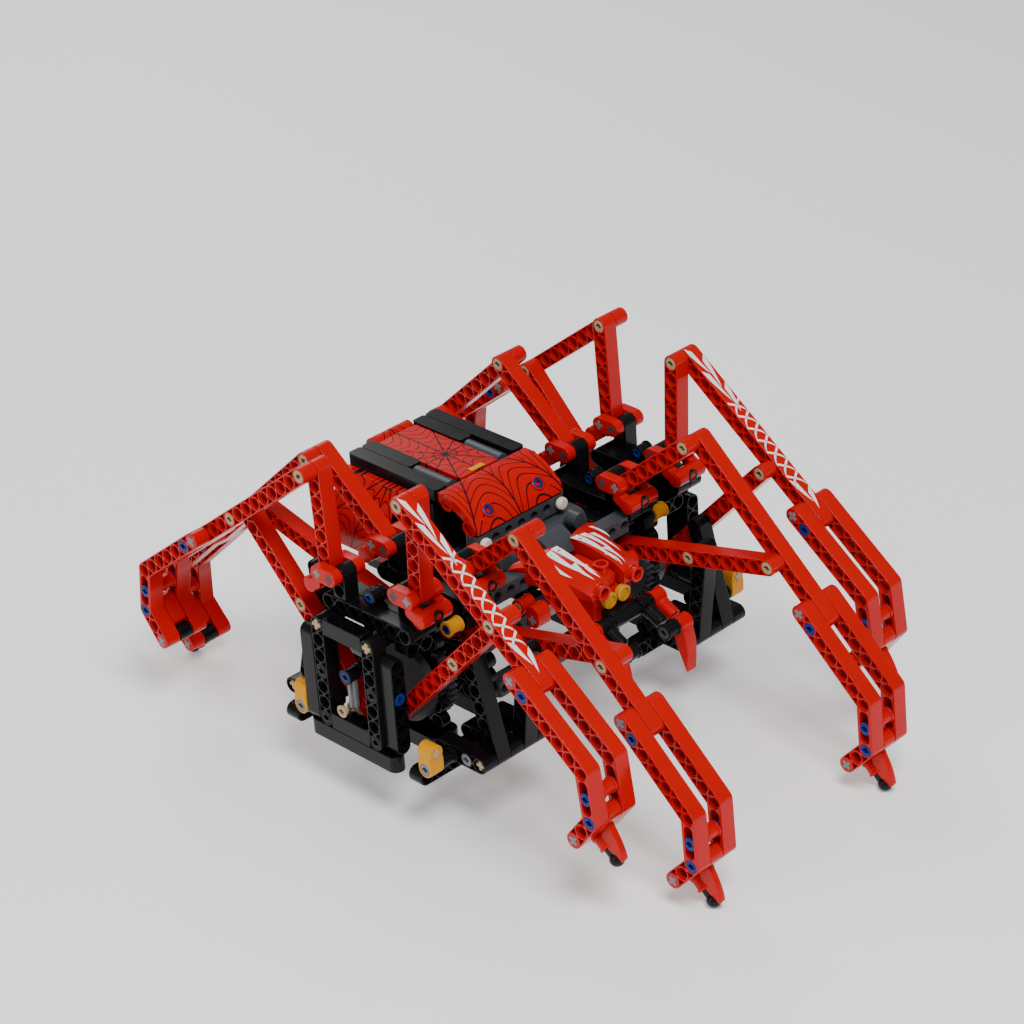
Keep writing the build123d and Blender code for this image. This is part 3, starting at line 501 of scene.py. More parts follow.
# ---- legs ---------------------------------------------------------------------------
def leg_meshes(key):
    """Meshes of one leg in the side plane, shared by both sides."""
    end, crank_angle, _ = LEGS[key]
    joint = linkage(crank_angle)
    tilt = end * joint["slope"]

    def points(*names):
        """Named pivots in millimetres."""
        return scaled([joint[n] for n in names], end)

    upper, lower = scaled([UPPER_PIVOT, LOWER_PIVOT], end)
    hip, elbow, crank, knuckle, tip = points("hip", "elbow", "crank", "knuckle", "tip")
    holes = evenly(hip, tip, THIGH + 1)
    made = {
        "rocker": beam_mesh(f"rocker_{key}", [upper, hip], evenly(upper, hip, ROCKER + 1)),
        "lower": beam_mesh(f"lower_{key}", [lower, knuckle], evenly(lower, knuckle, ROCKER + 1)),
        "arm": beam_mesh(f"arm_{key}", [crank, elbow],
                         evenly(crank, elbow, ARM_INNER + ARM_OUTER + 1)),
        "thigh": beam_mesh(f"thigh_{key}", [hip, tip],
                           holes[:SHIN_START] + holes[SHIN_START + 1:],
                           [(holes[SHIN_START], tilt)], pitted=[holes]),
    }
    start, knee, heel, toe = points("start", "knee", "heel", "toe")
    upright = evenly(start, knee, KNEE - SHIN_START + 1)
    ankle = evenly(heel, toe, SHIN_LENGTH + 1)
    quarters = evenly(knee, heel, 5)
    made["shin"] = beam_mesh(
        f"shin_{key}", [start, knee, heel, toe], upright[1:] + ankle[:-1],
        [(start, tilt), (toe, tilt)], [[quarters[1], quarters[3]]], pitted=[upright, ankle],
    )
    made["claw"] = claw_mesh(key, joint, end)
    made["stud"] = stud_mesh(key, joint, end)
    return made


def claw_mesh(key, joint, end):
    """Blade that hangs below the ankle between the shin beams, with the link it grows from."""
    slope, heel = joint["slope"], joint["heel"]

    def at(along, across):
        """A place in pitches from the heel, along and across the thigh's direction."""
        return scaled([turned(turned(heel, slope, along), slope + 90, across)], end)[0]

    back = [at(0.3, -0.4), at(0.75, -0.6), at(1.2, -0.76), at(1.55, -0.9), at(1.88, -1.07),
            at(2.12, -1.22), at(2.34, -1.4)]
    front = [at(2.36, -1.62), at(1.4, -1.9), at(0.9, -2.05), at(0.3, -2.1)]
    shape = Shape()
    slab(shape, back + front, -BLADE_HALF, BLADE_HALF, edge=0.7)
    slab(shape, strip([at(0, 0), at(0, -1.05)]), -CLAW_HALF, CLAW_HALF, edge=0.35)
    return shape.mesh(f"claw_{key}")


BALL_R, NECK_R, NECK_START, STUD_PLAY = 3.4, 1.9, 2.9, 0.4
SLEEVE_RINGS = ((3.3, 3.0, 9.6, 0.4), (3.8, 9.0, 10.4, 0.4), (3.8, 3.0, 5.2, 0.3))


def sleeve_mesh():
    """Round sleeve over the neck of a ball, from the toe axle outward, thicker at both ends."""
    shape = Shape()
    for radius, start, end, edge in SLEEVE_RINGS:
        slab(shape, circle((0, 0), radius, ROUND), start, end, edge=edge)
    return shape.mesh("sleeve")


def stud_mesh(key, joint, end):
    """Neck of a ball, on the ring that the toe axle holds."""
    toe, ball = scaled([joint["toe"], joint["ball"]], end)
    shape = Shape()
    slab(shape, circle(toe, HALF), -HALF + STUD_PLAY, HALF - STUD_PLAY, [circle(toe, HOLE_R)])
    neck = strip([turned(toe, heading(toe, ball), NECK_START), ball], NECK_R)
    slab(shape, neck, -NECK_R, NECK_R, edge=0.8)
    return shape.mesh(f"stud_{key}")


def ball_mesh():
    """A polished ball."""
    data = bpy.data.meshes.new("ball")
    work = bmesh.new()
    bmesh.ops.create_uvsphere(work, u_segments=32, v_segments=18, radius=BALL_R / 1000)
    work.to_mesh(data)
    work.free()
    data.polygons.foreach_set("use_smooth", [True] * len(data.polygons))
    return data


PRINT_LIFT = 0.02  # a printed layer sits this far above its surface
# The feathers' starts and lengths along the thigh, and the two sides and notch of their roots.
FEATHERS = ((-2, 16), (4, 18), (11, 19), (20, 16), (74, 14), (80, 12))
FEATHER_STEPS, FEATHER_OUTER, FEATHER_INNER, FEATHER_NOTCH = 6, 3.6, 0.9, 3
# The net's arcs: where they start, how far each swings across the edge, and their half width.
NET_START, NET_END, NET_STEP, NET_STEPS = 30, 76, 7, 5
NET_EDGE, NET_SWING, NET_HALF = 3.5, 6.6, 0.65


def flash_mesh(joint, end):
    """White feathered flashes and a net along the top edge of a thigh, a thin printed layer."""
    slope = joint["slope"]
    top = HALF + PRINT_LIFT
    shape = Shape()

    def patch(points):
        """A flat polygon on the beam's top edge, from (along, across) millimetre pairs."""
        start = len(shape.verts)
        for along, across in points:
            base = turned(turned(joint["hip"], slope, along / PITCH), slope + 90, top / PITCH)
            shape.verts.append((across, end * base[0] * PITCH, base[1] * PITCH))
        shape.faces.append(tuple(range(start, start + len(points))))

    for i, (start, length) in enumerate(FEATHERS):
        side = 1 if i % 2 else -1
        shares = [k / FEATHER_STEPS for k in range(FEATHER_STEPS + 1)]
        outer = [(start + length * share, side * FEATHER_OUTER * (1 - share**1.6)) for share in shares]
        inner = [(start + FEATHER_NOTCH + (length - FEATHER_NOTCH) * share,
                  side * FEATHER_INNER * (1 - share**1.1)) for share in shares]
        for k in range(FEATHER_STEPS):
            patch([outer[k], outer[k + 1], inner[k + 1], inner[k]])
    for start in range(NET_START, NET_END, NET_STEP):
        for sign in (-1, 1):
            arc = [(start + NET_STEP * k / NET_STEPS,
                    sign * (NET_EDGE - NET_SWING * math.sin(math.pi / 2 * k / NET_STEPS)))
                   for k in range(NET_STEPS + 1)]
            for a, b in zip(arc, arc[1:]):
                patch([(a[0] - NET_HALF, a[1]), (a[0] + NET_HALF, a[1]),
                       (b[0] + NET_HALF, b[1]), (b[0] - NET_HALF, b[1])])
    return shape


BALL = ball_mesh()
SLEEVE = sleeve_mesh()
HEEL_BUSH = bush_mesh("heel_bush", HALF - 0.1)


def build_leg(key, side_name, meshes):
    """Puts the beams, foot, pins and axles of one leg on its four bodies."""
    end, crank_angle, plane = LEGS[key]
    side = SIDES[side_name]
    joint = linkage(crank_angle)
    tag = f"{key}_{side_name}"
    leg, rocker, arm, lower = (f"{part}_{tag}" for part in ("leg", "rocker", "arm", "lower"))
    x_leg, x_arm, x_lower = side * plane, side * (plane - 1), side * LOWER_PLANE[key]

    def at(name):
        """A named pivot on this end of the walker."""
        return end * joint[name][0], joint[name][1]

    turn_leg = Matrix.Rotation(math.radians(end * joint["slope"]), 4, "X")
    down_leg = Matrix.Rotation(math.radians(heading(at("toe"), at("ball"))), 4, "X")

    piece = put(f"rocker_beam_{tag}", meshes["rocker"], red, rocker, x_arm, slot="red")
    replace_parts(piece, f"upper_rocker_{tag}")
    piece = put(f"thigh_beam_{tag}", meshes["thigh"], red, leg, x_leg, slot="red")
    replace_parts(piece, f"thigh_{tag}")
    piece = put(f"arm_beam_{tag}", meshes["arm"], red, arm, x_arm, slot="red")
    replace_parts(piece, f"arm_{tag}")
    piece = put(f"lower_beam_{tag}", meshes["lower"], black, lower, x_lower, slot="black")
    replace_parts(piece, f"lower_rocker_{tag}")
    for offset, label in ((-1, "in"), (1, "out")):
        piece = put(f"shin_beam_{label}_{tag}", meshes["shin"], red, leg, side * (plane + offset),
                    slot="red")
    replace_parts(piece, f"shin_{tag}")

    put(f"claw_{tag}", meshes["claw"], red, leg, x_leg, slot="red")
    put(f"ball_stud_{tag}", meshes["stud"], black, leg, x_leg, slot="black")
    put(f"sleeve_{tag}", SLEEVE, red, leg, x_leg, *at("toe"), down_leg @ FACE_Y, slot="red")
    put(f"ball_{tag}", BALL, ball_black, leg, x_leg, *at("ball"))

    put(f"hip_pin_{tag}", PIN, cream, leg, x_leg, *at("hip"), turn_leg, slot="cream")
    put(f"hip_pin_inner_{tag}", PIN, cream, leg, x_arm, *at("hip"), slot="cream")
    put(f"elbow_pin_{tag}", PIN, cream, leg, x_leg, *at("elbow"), slot="cream")
    put(f"elbow_pin_inner_{tag}", PIN, cream, leg, x_arm, *at("elbow"), slot="cream")
    put(f"crank_pin_{tag}", PIN, cream, arm, x_arm, *at("crank"), slot="cream")
    put(f"knuckle_pin_{tag}", PIN, cream, arm, x_arm, *at("knuckle"), slot="cream")
    put(f"start_axle_{tag}", AXLE_LONG, light_grey, leg, x_leg, *at("start"), turn_leg)
    put(f"toe_axle_{tag}", AXLE_LONG, light_grey, leg, x_leg, *at("toe"), turn_leg)
    for label, place, offsets in (
        ("shin", "tip", (-1, 0, 1)), ("heel", "heel", (-1, 1)), ("slot", "spacer", (-1, 1)),
    ):
        for offset in offsets:
            put(f"{label}_pin_{offset + 1}_{tag}", PIN, blue, leg, side * (plane + offset), *at(place))
    put(f"heel_joiner_{tag}", HEEL_BUSH, red, leg, x_leg, *at("spacer"), slot="red")


for key in LEGS:
    shared_meshes = leg_meshes(key)
    for side_name in SIDES:
        build_leg(key, side_name, shared_meshes)

end, crank_angle, plane = LEGS["fo"]
flash = flash_mesh(linkage(crank_angle), end).mesh("flash_fo")
for side_name, side in SIDES.items():
    put(f"flash_fo_{side_name}", flash, white, f"leg_fo_{side_name}", side * plane)


# ---- CAD nodes that are shown as they are -------------------------------------------
NODE_SHARP, NODE_BEVEL = 30, 40  # angles from which an edge is sharp, and is softened


def finish_node(name, material, width=0.3):
    """Gives a CAD node its material and softened edges."""
    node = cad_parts[name]
    node.data.materials.clear()
    node.data.materials.append(material)
    node.data.polygons.foreach_set("use_smooth", [True] * len(node.data.polygons))
    node.data.set_sharp_from_angle(angle=math.radians(NODE_SHARP))
    soft = node.modifiers.new("edge", "BEVEL")
    soft.width = width / 1000
    soft.segments = 2
    soft.limit_method = "ANGLE"
    soft.angle_limit = math.radians(NODE_BEVEL)
    soft.harden_normals = False


# Each web: its centre in metres, its number of spokes, the spacing and the width of its threads.
web_red = webbed("web_print", RED, (0, 0.0435), 12, 0.0062, 0.00075)
side_web = webbed("side_web_print", RED, (0.047, LIFT / 1000 + 0.012), 14, 0.0065, 0.0007,
                  axes=("Y", "Z"))
for side_name in SIDES:
    finish_node(f"crank_{side_name}", dark_grey, width=0.15)
    finish_node(f"pinion_{side_name}", dark_grey, width=0.1)
finish_node("drive_motors", dark_grey)
finish_node("spine", dark_grey)
finish_node("battery_box", black)
finish_node("abdomen_rails", black)
finish_node("abdomen_panel", web_red)
finish_node("bonnet", web_red)
finish_node("side_fairings", side_web)


# ---- gearboxes ----------------------------------------------------------------------
straight_meshes = {}


def straight(name, count, x, y, z, holes, along, half=HALF, colour=black, slot="black"):
    """A straight beam on the chassis, placed by its first hole."""
    key = (count, half)
    if key not in straight_meshes:
        path = [(0, 0), ((count - 1) * PITCH, 0)]
        points = evenly(*path, count)
        straight_meshes[key] = block_mesh(f"straight_{count}_{half}", strip(path), half,
                                          bored=points, pits=pits_between(points))
    return put(name, straight_meshes[key], colour, "chassis", x, y, z, facing(holes, along), slot)


PLATE_HALF = 2.4
FRAME_X, PLATE_X, INNER_X = 12, 8.5, 5
FRAME_Y, FRAME_Z = (-1, 3), (-9, -3)  # the uprights and the two bars
WINDOW_X = 12.03  # the parts behind the frame's opening, clear of the arms
DECK_Z, DECK_PLANES = -2, (6, 7, 10, 11)
BASE_RAILS = ((12, -10), (9, -10.25), (8, -10.25), (5, -10))
RAIL_Z, CROSS_RAILS = -10, (-4, 6)
OUTRIGGERS = {-1: (6, 8, 10), 1: (7, 9, 11)}  # planes at the front and the rear
LONG_TIE_X, SHORT_TIE_X, SHORT_TIE_Y = 10.14, 6.84, 2.15
CORNERS = ((-2, 11.72), (4, 12.02))
FRONT_BAR_X, FRONT_BAR_Z = (9.5, 10.5), -3.47
BUSH_Y, BUSH_Z, TUBE_Y, TUBE_LIFT = -3.1, -2.85, 0.2, 0.98  # round connectors on the deck
BLOCK_X, BLOCK_BUSH_X, BLOCK_HEAD_Z = 12.1, 11.05, -8
WINDOW_AXLE = axle_mesh("window_axle", 0.9 * PITCH)
LOWER_AXLE = axle_mesh("lower_axle", 2.4 * PITCH)
LONG_TIE = bush_mesh("long_tie", 1.32 * PITCH)
SHORT_TIE = bush_mesh("short_tie", 1.33 * PITCH)
BLOCK_FOOT = block_mesh("block_foot", strip([(0, 0), (0, 4.1)]), HALF, bored=[(0, 0)])
BLOCK_HEAD = block_mesh("block_head", circle((0, 0), HALF, ROUND), HALF, [PLUS])
BLOCK_BUSH = bush_mesh("block_bush", 4.2)
HANGER = block_mesh("hanger", [(-3.2, -3), (3.2, -3), (3.2, 3), (-3.2, 3)], 3.2)


def side_frame(tag, side):
    """Open frame on the outer side, the bearing plates behind it, and the frame's pins."""
    x = side * FRAME_X
    bottom, top = FRAME_Z
    for y in FRAME_Y:
        piece = straight(f"frame_upright_{y}_{tag}", 7, x, y, bottom, "X", "Z")
        put(f"frame_axle_{y}_{tag}", AXLE_SHORT, cream, "chassis", x, y, top, slot="cream")
    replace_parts(piece, "gearbox_frames")
    bar_half = HALF + 0.2
    rows = evenly((0, 0), (2 * PITCH, 0), 3)
    square = [(-bar_half, -HALF), (2 * PITCH + bar_half, -HALF),
              (2 * PITCH + bar_half, HALF), (-bar_half, HALF)]
    bar = block_mesh(f"frame_bar_{tag}", square, HALF, bored=rows, pits=pits_between(rows))
    for z in FRAME_Z:
        put(f"frame_bar_{z}_{tag}", bar, black, "chassis", x, 0, z, FACE_Z, "black")
    for z in range(bottom, top + 1):
        straight(f"middle_plate_{z}_{tag}", 6, side * PLATE_X, -2, z, "X", "Y", PLATE_HALF)
        straight(f"inner_plate_{z}_{tag}", 5, side * INNER_X, -2, z, "X", "Y")
    put(f"window_axle_{tag}", WINDOW_AXLE, light_grey, "chassis", side * 11.86, 1.2, -6.9, FACE_Z)
    put(f"window_bush_{tag}", BUSH, black, "chassis", side * WINDOW_X, 1.0, -5.6)
    put(f"window_pin_{tag}", PIN, blue, "chassis", side * WINDOW_X, 1.0, -5.6)
    put(f"window_low_pin_{tag}", PIN, cream, "chassis", side * WINDOW_X, 1.6, -8.05)
    for y, z in ((-1, -6), (3, -6), (3, -9), (-1, -9)):
        put(f"frame_pin_{y}_{-z}_{tag}", PIN, black, "chassis", x, y, z)


def base(tag, side):
    """Deck and base beams, the outriggers with the lower pivots, and the corner beams."""
    for plane in DECK_PLANES:
        piece = straight(f"deck_{plane}_{tag}", 7, side * plane, -3, DECK_Z, "X", "Y")
    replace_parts(piece, "gearbox_beams")
    for plane, z in BASE_RAILS:
        straight(f"base_{plane}_{tag}", 7, side * plane, -2, z, "Z", "Y")
    for y in CROSS_RAILS:
        first_hole = INNER_X if side > 0 else -FRAME_X
        straight(f"cross_rail_{y}_{tag}", 8, first_hole, y, RAIL_Z, "Y", "X")
    lower_y, lower_z = LOWER_PIVOT
    for end, planes in OUTRIGGERS.items():
        for plane in planes:
            first_hole = -lower_y if end < 0 else lower_y - 3
            straight(f"outrigger_{plane}_{tag}", 4, side * plane, first_hole, lower_z, "X", "Y")
        put(f"lower_axle_{end}_{tag}", LOWER_AXLE, cream, "chassis", side * planes[1],
            end * lower_y, lower_z)
        put(f"outrigger_pin_{end}_{tag}", PIN, light_grey, "chassis", side * planes[2],
            end * (lower_y - 1), lower_z)
    for y in FRAME_Y:
        put(f"long_tie_{y}_{tag}", LONG_TIE, black, "chassis", side * LONG_TIE_X, y, -3)
    for y in (-1, 1):
        put(f"short_tie_{y}_{tag}", SHORT_TIE, black, "chassis", side * SHORT_TIE_X,
            SHORT_TIE_Y * y, -3)
    for y, x in CORNERS:
        straight(f"corner_{y}_{tag}", 6, side * x, y, -9, "Y", "Z")
        put(f"corner_pin_{y}_{tag}", PIN, blue, "chassis", side * x, y, -6, FACE_Y)
    first_hole = FRONT_BAR_X[0] if side > 0 else -FRONT_BAR_X[1]
    straight(f"front_bar_{tag}", 2, first_hole, -2, FRONT_BAR_Z, "Y", "X")


def connectors(tag, side):
    """The yellow blocks at the base, and the round connectors on the deck."""
    x = side * BLOCK_X
    for y, label in ((-5, "front"), (5, "rear")):
        put(f"block_foot_{label}_{tag}", BLOCK_FOOT, yellow, "chassis", x, y, -9)
        put(f"block_head_{label}_{tag}", BLOCK_HEAD, yellow, "chassis", x, y, BLOCK_HEAD_Z,
            facing("Y", "X"))
        put(f"block_pin_{label}_{tag}", PIN, light_grey, "chassis", x, y, -9)
        put(f"block_axle_{label}_{tag}", AXLE_SHORT, cream, "chassis", x, y, BLOCK_HEAD_Z, FACE_Y)
        if label == "front":
            put(f"block_bush_{tag}", BLOCK_BUSH, black, "chassis", side * BLOCK_BUSH_X, y, -9)
    put(f"hanger_{tag}", HANGER, black, "chassis", side * 7, BUSH_Y, BUSH_Z - 0.07)
    put(f"deck_bush_{tag}", BUSH, yellow, "chassis", side * 8.1, BUSH_Y, BUSH_Z)
    put(f"deck_bush_pin_{tag}", PIN, blue, "chassis", side * 8.1, BUSH_Y, BUSH_Z)
    for plane in (6.5, 10.5):
        place = (side * plane, TUBE_Y, DECK_Z + TUBE_LIFT)
        put(f"deck_tube_{plane}_{tag}", BUSH, black, "chassis", *place)
        put(f"deck_tube_pin_{plane}_{tag}", PIN, blue, "chassis", *place)


# ---- yokes and posts ----------------------------------------------------------------
YOKE_INNER, YOKE_CHEEK = HALF + 0.3, 0.62 * PITCH
YOKE_OUTER = YOKE_INNER + YOKE_CHEEK
REST, NOSE = (2, 0), (3.75, -0.95)  # a post's top and a yoke's nose
POST_FOOT = -1.48
YOKE_AXLE = axle_mesh("yoke_axle", YOKE_OUTER + 0.02)
NOSE_RING = block_mesh("nose_ring", circle((0, 0), 2.9), HALF + 0.15, [circle((0, 0), 1.7)])


def yoke_mesh(end):
    """Two cheeks round the foot of a rocker and the nose that joins them below it."""
    pivot, rest, nose = scaled([UPPER_PIVOT, REST, NOSE], end)
    neck = (pivot[0] + end, pivot[1] - 5.2)
    shape = Shape()
    for low, high in ((-YOKE_OUTER, -YOKE_INNER), (YOKE_INNER, YOKE_OUTER)):
        slab(shape, strip([pivot, rest]), low, high, [local(PLUS, pivot, 0), local(PLUS, rest, 0)])
        slab(shape, strip([nose, neck], 2.6), low + 0.15, high - 0.15)
    slab(shape, circle(nose, HALF, ROUND), -YOKE_OUTER + 0.4, YOKE_OUTER - 0.4, edge=0.6)
    return shape.mesh(f"yoke_{end}")


def post_mesh(end):
    """Upright from the deck with a hole below its round top."""
    top, hole = scaled([REST, (REST[0], -1)], end)
    outline = [turned(top, 15 * k, HALF) for k in range(13)]
    outline += [(top[0] - HALF, POST_FOOT * PITCH), (top[0] + HALF, POST_FOOT * PITCH)]
    pits = [local(PIT, (top[0], -0.5 * PITCH), 90 + 180 * k) for k in range(2)]
    return block_mesh(f"post_{end}", outline, HALF, bored=[top, hole], pits=pits)


yoke_shapes = {end: (yoke_mesh(end), post_mesh(end)) for end in (-1, 1)}
for key, (end, _, plane) in LEGS.items():
    for side_name, side in SIDES.items():
        tag, x = f"{key}_{side_name}", side * (plane - 1)
        yoke, post = yoke_shapes[end]
        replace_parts(put(f"yoke_{tag}", yoke, red, "chassis", x, slot="red"), "rocker_yokes")
        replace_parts(put(f"post_{tag}", post, black, "chassis", x, slot="black"), "yoke_posts")
        put(f"yoke_pivot_axle_{tag}", YOKE_AXLE, light_grey, "chassis", x, end * UPPER_PIVOT[0])
        put(f"yoke_rest_axle_{tag}", YOKE_AXLE, dark_grey, "chassis", x, end * REST[0])
        put(f"nose_ring_{tag}", NOSE_RING, black, "chassis", x, end * NOSE[0], NOSE[1], FACE_Y)

for side_name, side in SIDES.items():
    side_frame(side_name, side)
    base(side_name, side)
    connectors(side_name, side)


# ---- jaws ---------------------------------------------------------------------------
JAW_PIVOT, JAW_TURN, JAW_LINK = (-8.05, -4.05), 206, 2.1
JAW_KNUCKLE = turned(JAW_PIVOT, JAW_TURN, JAW_LINK)
JAW_INNER, JAW_OUTER = 1.55, 2.53
LINK_HALF = 3.72
HUB = bush_mesh("jaw_hub", LINK_HALF, HALF)
JAW_AXLE = axle_mesh("jaw_axle", 3.08 * PITCH)
ALONG_LINK = Matrix.Rotation(math.radians(JAW_TURN), 4, "X") @ FACE_Y


def jaw_claw_mesh():
    """Curved pointed claw round the knuckle."""
    def at(across, up):
        """A place in pitches from the knuckle."""
        return ((JAW_KNUCKLE[0] + across) * PITCH, (JAW_KNUCKLE[1] + up) * PITCH)

    outline = [at(-0.36, 0.3), at(-0.53, -0.2), at(-0.68, -0.8), at(-0.74, -1.4), at(-0.72, -2.0),
               at(-0.62, -2.8), at(-0.4, -2.35), at(-0.05, -1.6), at(0.22, -0.85), at(0.36, -0.3)]
    shape = Shape()
    slab(shape, outline, -LINK_HALF + 0.6, LINK_HALF - 0.6, edge=0.5)
    hub = scaled([JAW_KNUCKLE])[0]
    slab(shape, circle(hub, HALF, ROUND), -LINK_HALF, LINK_HALF, [local(PLUS, hub, 20)])
    return shape.mesh("jaw_claw")


def leg_tube_mesh():
    """Round leg of a jaw link, from its hub towards the knuckle."""
    shape = Shape()
    slab(shape, circle((0, 0), 3.2, ROUND), 3.2, (JAW_LINK - 0.55) * PITCH, edge=0.5)
    slab(shape, circle((0, 0), 3.5, ROUND), 3.4, 6.0, edge=0.3)
    return shape.mesh("jaw_leg")


JAW_CLAW, JAW_LEG = jaw_claw_mesh(), leg_tube_mesh()
for side_name, side in SIDES.items():
    body = f"jaw_{side_name}"
    inner, outer = side * JAW_INNER, side * JAW_OUTER
    for label, x, material in (("inner", inner, black), ("outer", outer, red)):
        put(f"jaw_hub_{label}_{side_name}", HUB, material, body, x, *JAW_PIVOT)
        piece = put(f"jaw_leg_{label}_{side_name}", JAW_LEG, material, body, x, *JAW_PIVOT,
                    ALONG_LINK)
    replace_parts(piece, f"jaw_{side_name}")
    put(f"jaw_knuckle_{side_name}", HUB, black, body, inner, *JAW_KNUCKLE)
    put(f"jaw_knuckle_pin_{side_name}", PIN, dark_grey, body, inner, *JAW_KNUCKLE)
    put(f"jaw_claw_{side_name}", JAW_CLAW, red, body, outer, slot="red")


# ---- head, eyes, lamps and the tile on the back -------------------------------------
put("jaw_axle", JAW_AXLE, light_grey, "chassis", 0, *JAW_PIVOT)
HEAD_SIDE = [(-7.3, -4.2), (-7.3, -3.0), (-7.0, -2.65), (-4.6, -2.65), (-4.6, -4.2)]
HEAD_CORE = block_mesh("head_core", scaled(HEAD_SIDE), 1.45 * PITCH, edge=0.8)
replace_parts(put("head_core", HEAD_CORE, red, "chassis", slot="red"), "head_block")
CREST_SIDE = [(-7.1, -2.55), (-7.1, -1.95), (-6.6, -1.75), (-4.3, -1.75), (-4.0, -2.1), (-4.0, -2.55)]
HEAD_CREST = block_mesh("head_crest", scaled(CREST_SIDE), 0.48 * PITCH, edge=0.6)
put("head_crest", HEAD_CREST, red, "chassis", slot="red")
JAW_BRACKET = block_mesh("jaw_bracket", scaled(strip([JAW_PIVOT, (-7.4, -4.05)], 0.45)),
                         0.98 * PITCH)
put("jaw_bracket", JAW_BRACKET, black, "chassis")
put("head_pin", bush_mesh("head_pin", 3.0, 3.6, PIN_R), red, "chassis", 0, -6.5, -1.72, FACE_Z)

EYE_X, EYE_Y, EYE_Z = 0.53, -7.5, -3.05
LAMP_X, LAMP_Y, LAMP_Z = 2.98, -0.65, -0.95
EYE_RING = block_mesh("eye_ring", circle((0, 0), HALF, FINE_ROUND), 1.5,
                      [circle((0, 0), 2.7, FINE_ROUND)], edge=0.5)
EYE_LENS = block_mesh("eye_lens", circle((0, 0), 2.75, FINE_ROUND), 1.1, edge=0.5)
LAMP = block_mesh("lamp", circle((0, 0), 3.0, FINE_ROUND), 1.5, edge=0.9)
for side_name, side in SIDES.items():
    ring = put(f"eye_ring_{side_name}", EYE_RING, amber, "chassis", side * EYE_X, EYE_Y, EYE_Z, FACE_Y)
    put(f"eye_lens_{side_name}", EYE_LENS, amber, "chassis", side * EYE_X, EYE_Y + 0.02, EYE_Z, FACE_Y)
    put(f"lamp_{side_name}", LAMP, lamp, "chassis", side * LAMP_X, LAMP_Y, LAMP_Z, FACE_Y)
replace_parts(ring, "eyes_and_lamps")
TILE = block_mesh("tile", [(-4, -1.4), (4, -1.4), (4, 1.4), (-4, 1.4)], 0.24, edge=0.1)
put("tile", TILE, yellow, "chassis", 0, 2.93, 1.43, facing("Z", "X"))


CHEEK_ROWS = (  # y, inner x, outer x, height of the ridge, of the shoulder, of the underside
    (-2.7, 2.7, 3.35, -1.42, -1.62, -1.75),
    (-3.05, 1.5, 3.1, -1.2, -1.52, -1.78),
    (-3.5, 0.66, 2.85, -1.05, -1.45, -2.55),
    (-4.2, 0.6, 2.6, -1.0, -1.45, -2.55),
    (-5.2, 0.6, 2.45, -1.08, -1.6, -2.55),
    (-6.2, 0.6, 2.3, -1.25, -1.75, -2.55),
    (-7.0, 0.6, 2.1, -1.42, -1.95, -2.55),
    (-7.6, 0.62, 1.95, -1.75, -2.2, -2.55),
)
CHEEK_STEPS, CHEEK_START = 6, 0.08  # the curve's pieces, and where across a cheek it begins


def cheek_height(ridge, shoulder, share):
    """Height of a cheek at a share of the way from its ridge to its shoulder."""
    return ridge + (shoulder - ridge) * (1 - math.cos(math.pi / 2 * share))


def cheek_mesh(side):
    """Sloping panel beside the crest, high at its inner edge and rounded outward."""
    shape = Shape()
    rings = []
    for y, inner, outer, ridge, shoulder, under in CHEEK_ROWS:
        profile = [(inner, under), (inner, ridge - 0.05)]
        for k in range(CHEEK_STEPS + 1):
            share = k / CHEEK_STEPS
            across = CHEEK_START + (1 - CHEEK_START) * share
            profile.append((inner + (outer - inner) * across, cheek_height(ridge, shoulder, share)))
        profile += [(outer, shoulder - 0.1), (outer - 0.1, under)]
        start = len(shape.verts)
        shape.verts += [(side * x * PITCH, y * PITCH, z * PITCH) for x, z in profile]
        rings.append(list(range(start, start + len(profile))))
    for a, b in zip(rings, rings[1:]):
        shape.wall(a, b)
    shape.faces += [tuple(rings[0]), tuple(rings[-1][::-1])]
    return shape.mesh(f"cheek_{side}", angle=35)


def print_height(x, y):
    """Just above a cheek at a place, in pitches."""
    for a, b in zip(CHEEK_ROWS, CHEEK_ROWS[1:]):
        if b[0] <= y <= a[0]:
            way = (a[0] - y) / (a[0] - b[0])
            inner, outer, ridge, shoulder, _ = (p + (q - p) * way for p, q in zip(a[1:], b[1:]))
            share = ((x - inner) / (outer - inner) - CHEEK_START) / (1 - CHEEK_START)
            return cheek_height(ridge, shoulder, min(1, max(0, share))) + PRINT_LIFT
    return CHEEK_ROWS[-1][3]


FLARES = (  # start along and across the body, length and width
    (-3.2, 2.6, 1.5, 0.3), (-3.7, 0.8, 3.3, 0.5), (-3.8, 1.35, 2.6, 0.45),
    (-4.0, 1.9, 2.2, 0.4), (-5.6, 1.2, 1.6, 0.3), (-6.1, 0.85, 1.2, 0.26),
)
FLARE_STEPS, FLARE_WAVE = 5, 0.12


def flare_mesh(side):
    """White pointed strokes that lie on a cheek, a thin printed layer."""
    shape = Shape()
    for y, x, length, wide in FLARES:
        start = len(shape.verts)
        for k in range(FLARE_STEPS + 1):
            share = k / FLARE_STEPS
            here = y - length * share
            half = wide * (1 - share) ** 0.8 / 2
            for sign in (-1, 1):
                across = x + FLARE_WAVE * math.sin(3 * share) + sign * half
                shape.verts.append((side * across * PITCH, here * PITCH,
                                    print_height(across, here) * PITCH))
        shape.faces += [(start + 2 * k, start + 2 * k + 1, start + 2 * k + 3, start + 2 * k + 2)
                        for k in range(FLARE_STEPS)]
    return shape.mesh(f"flare_{side}")


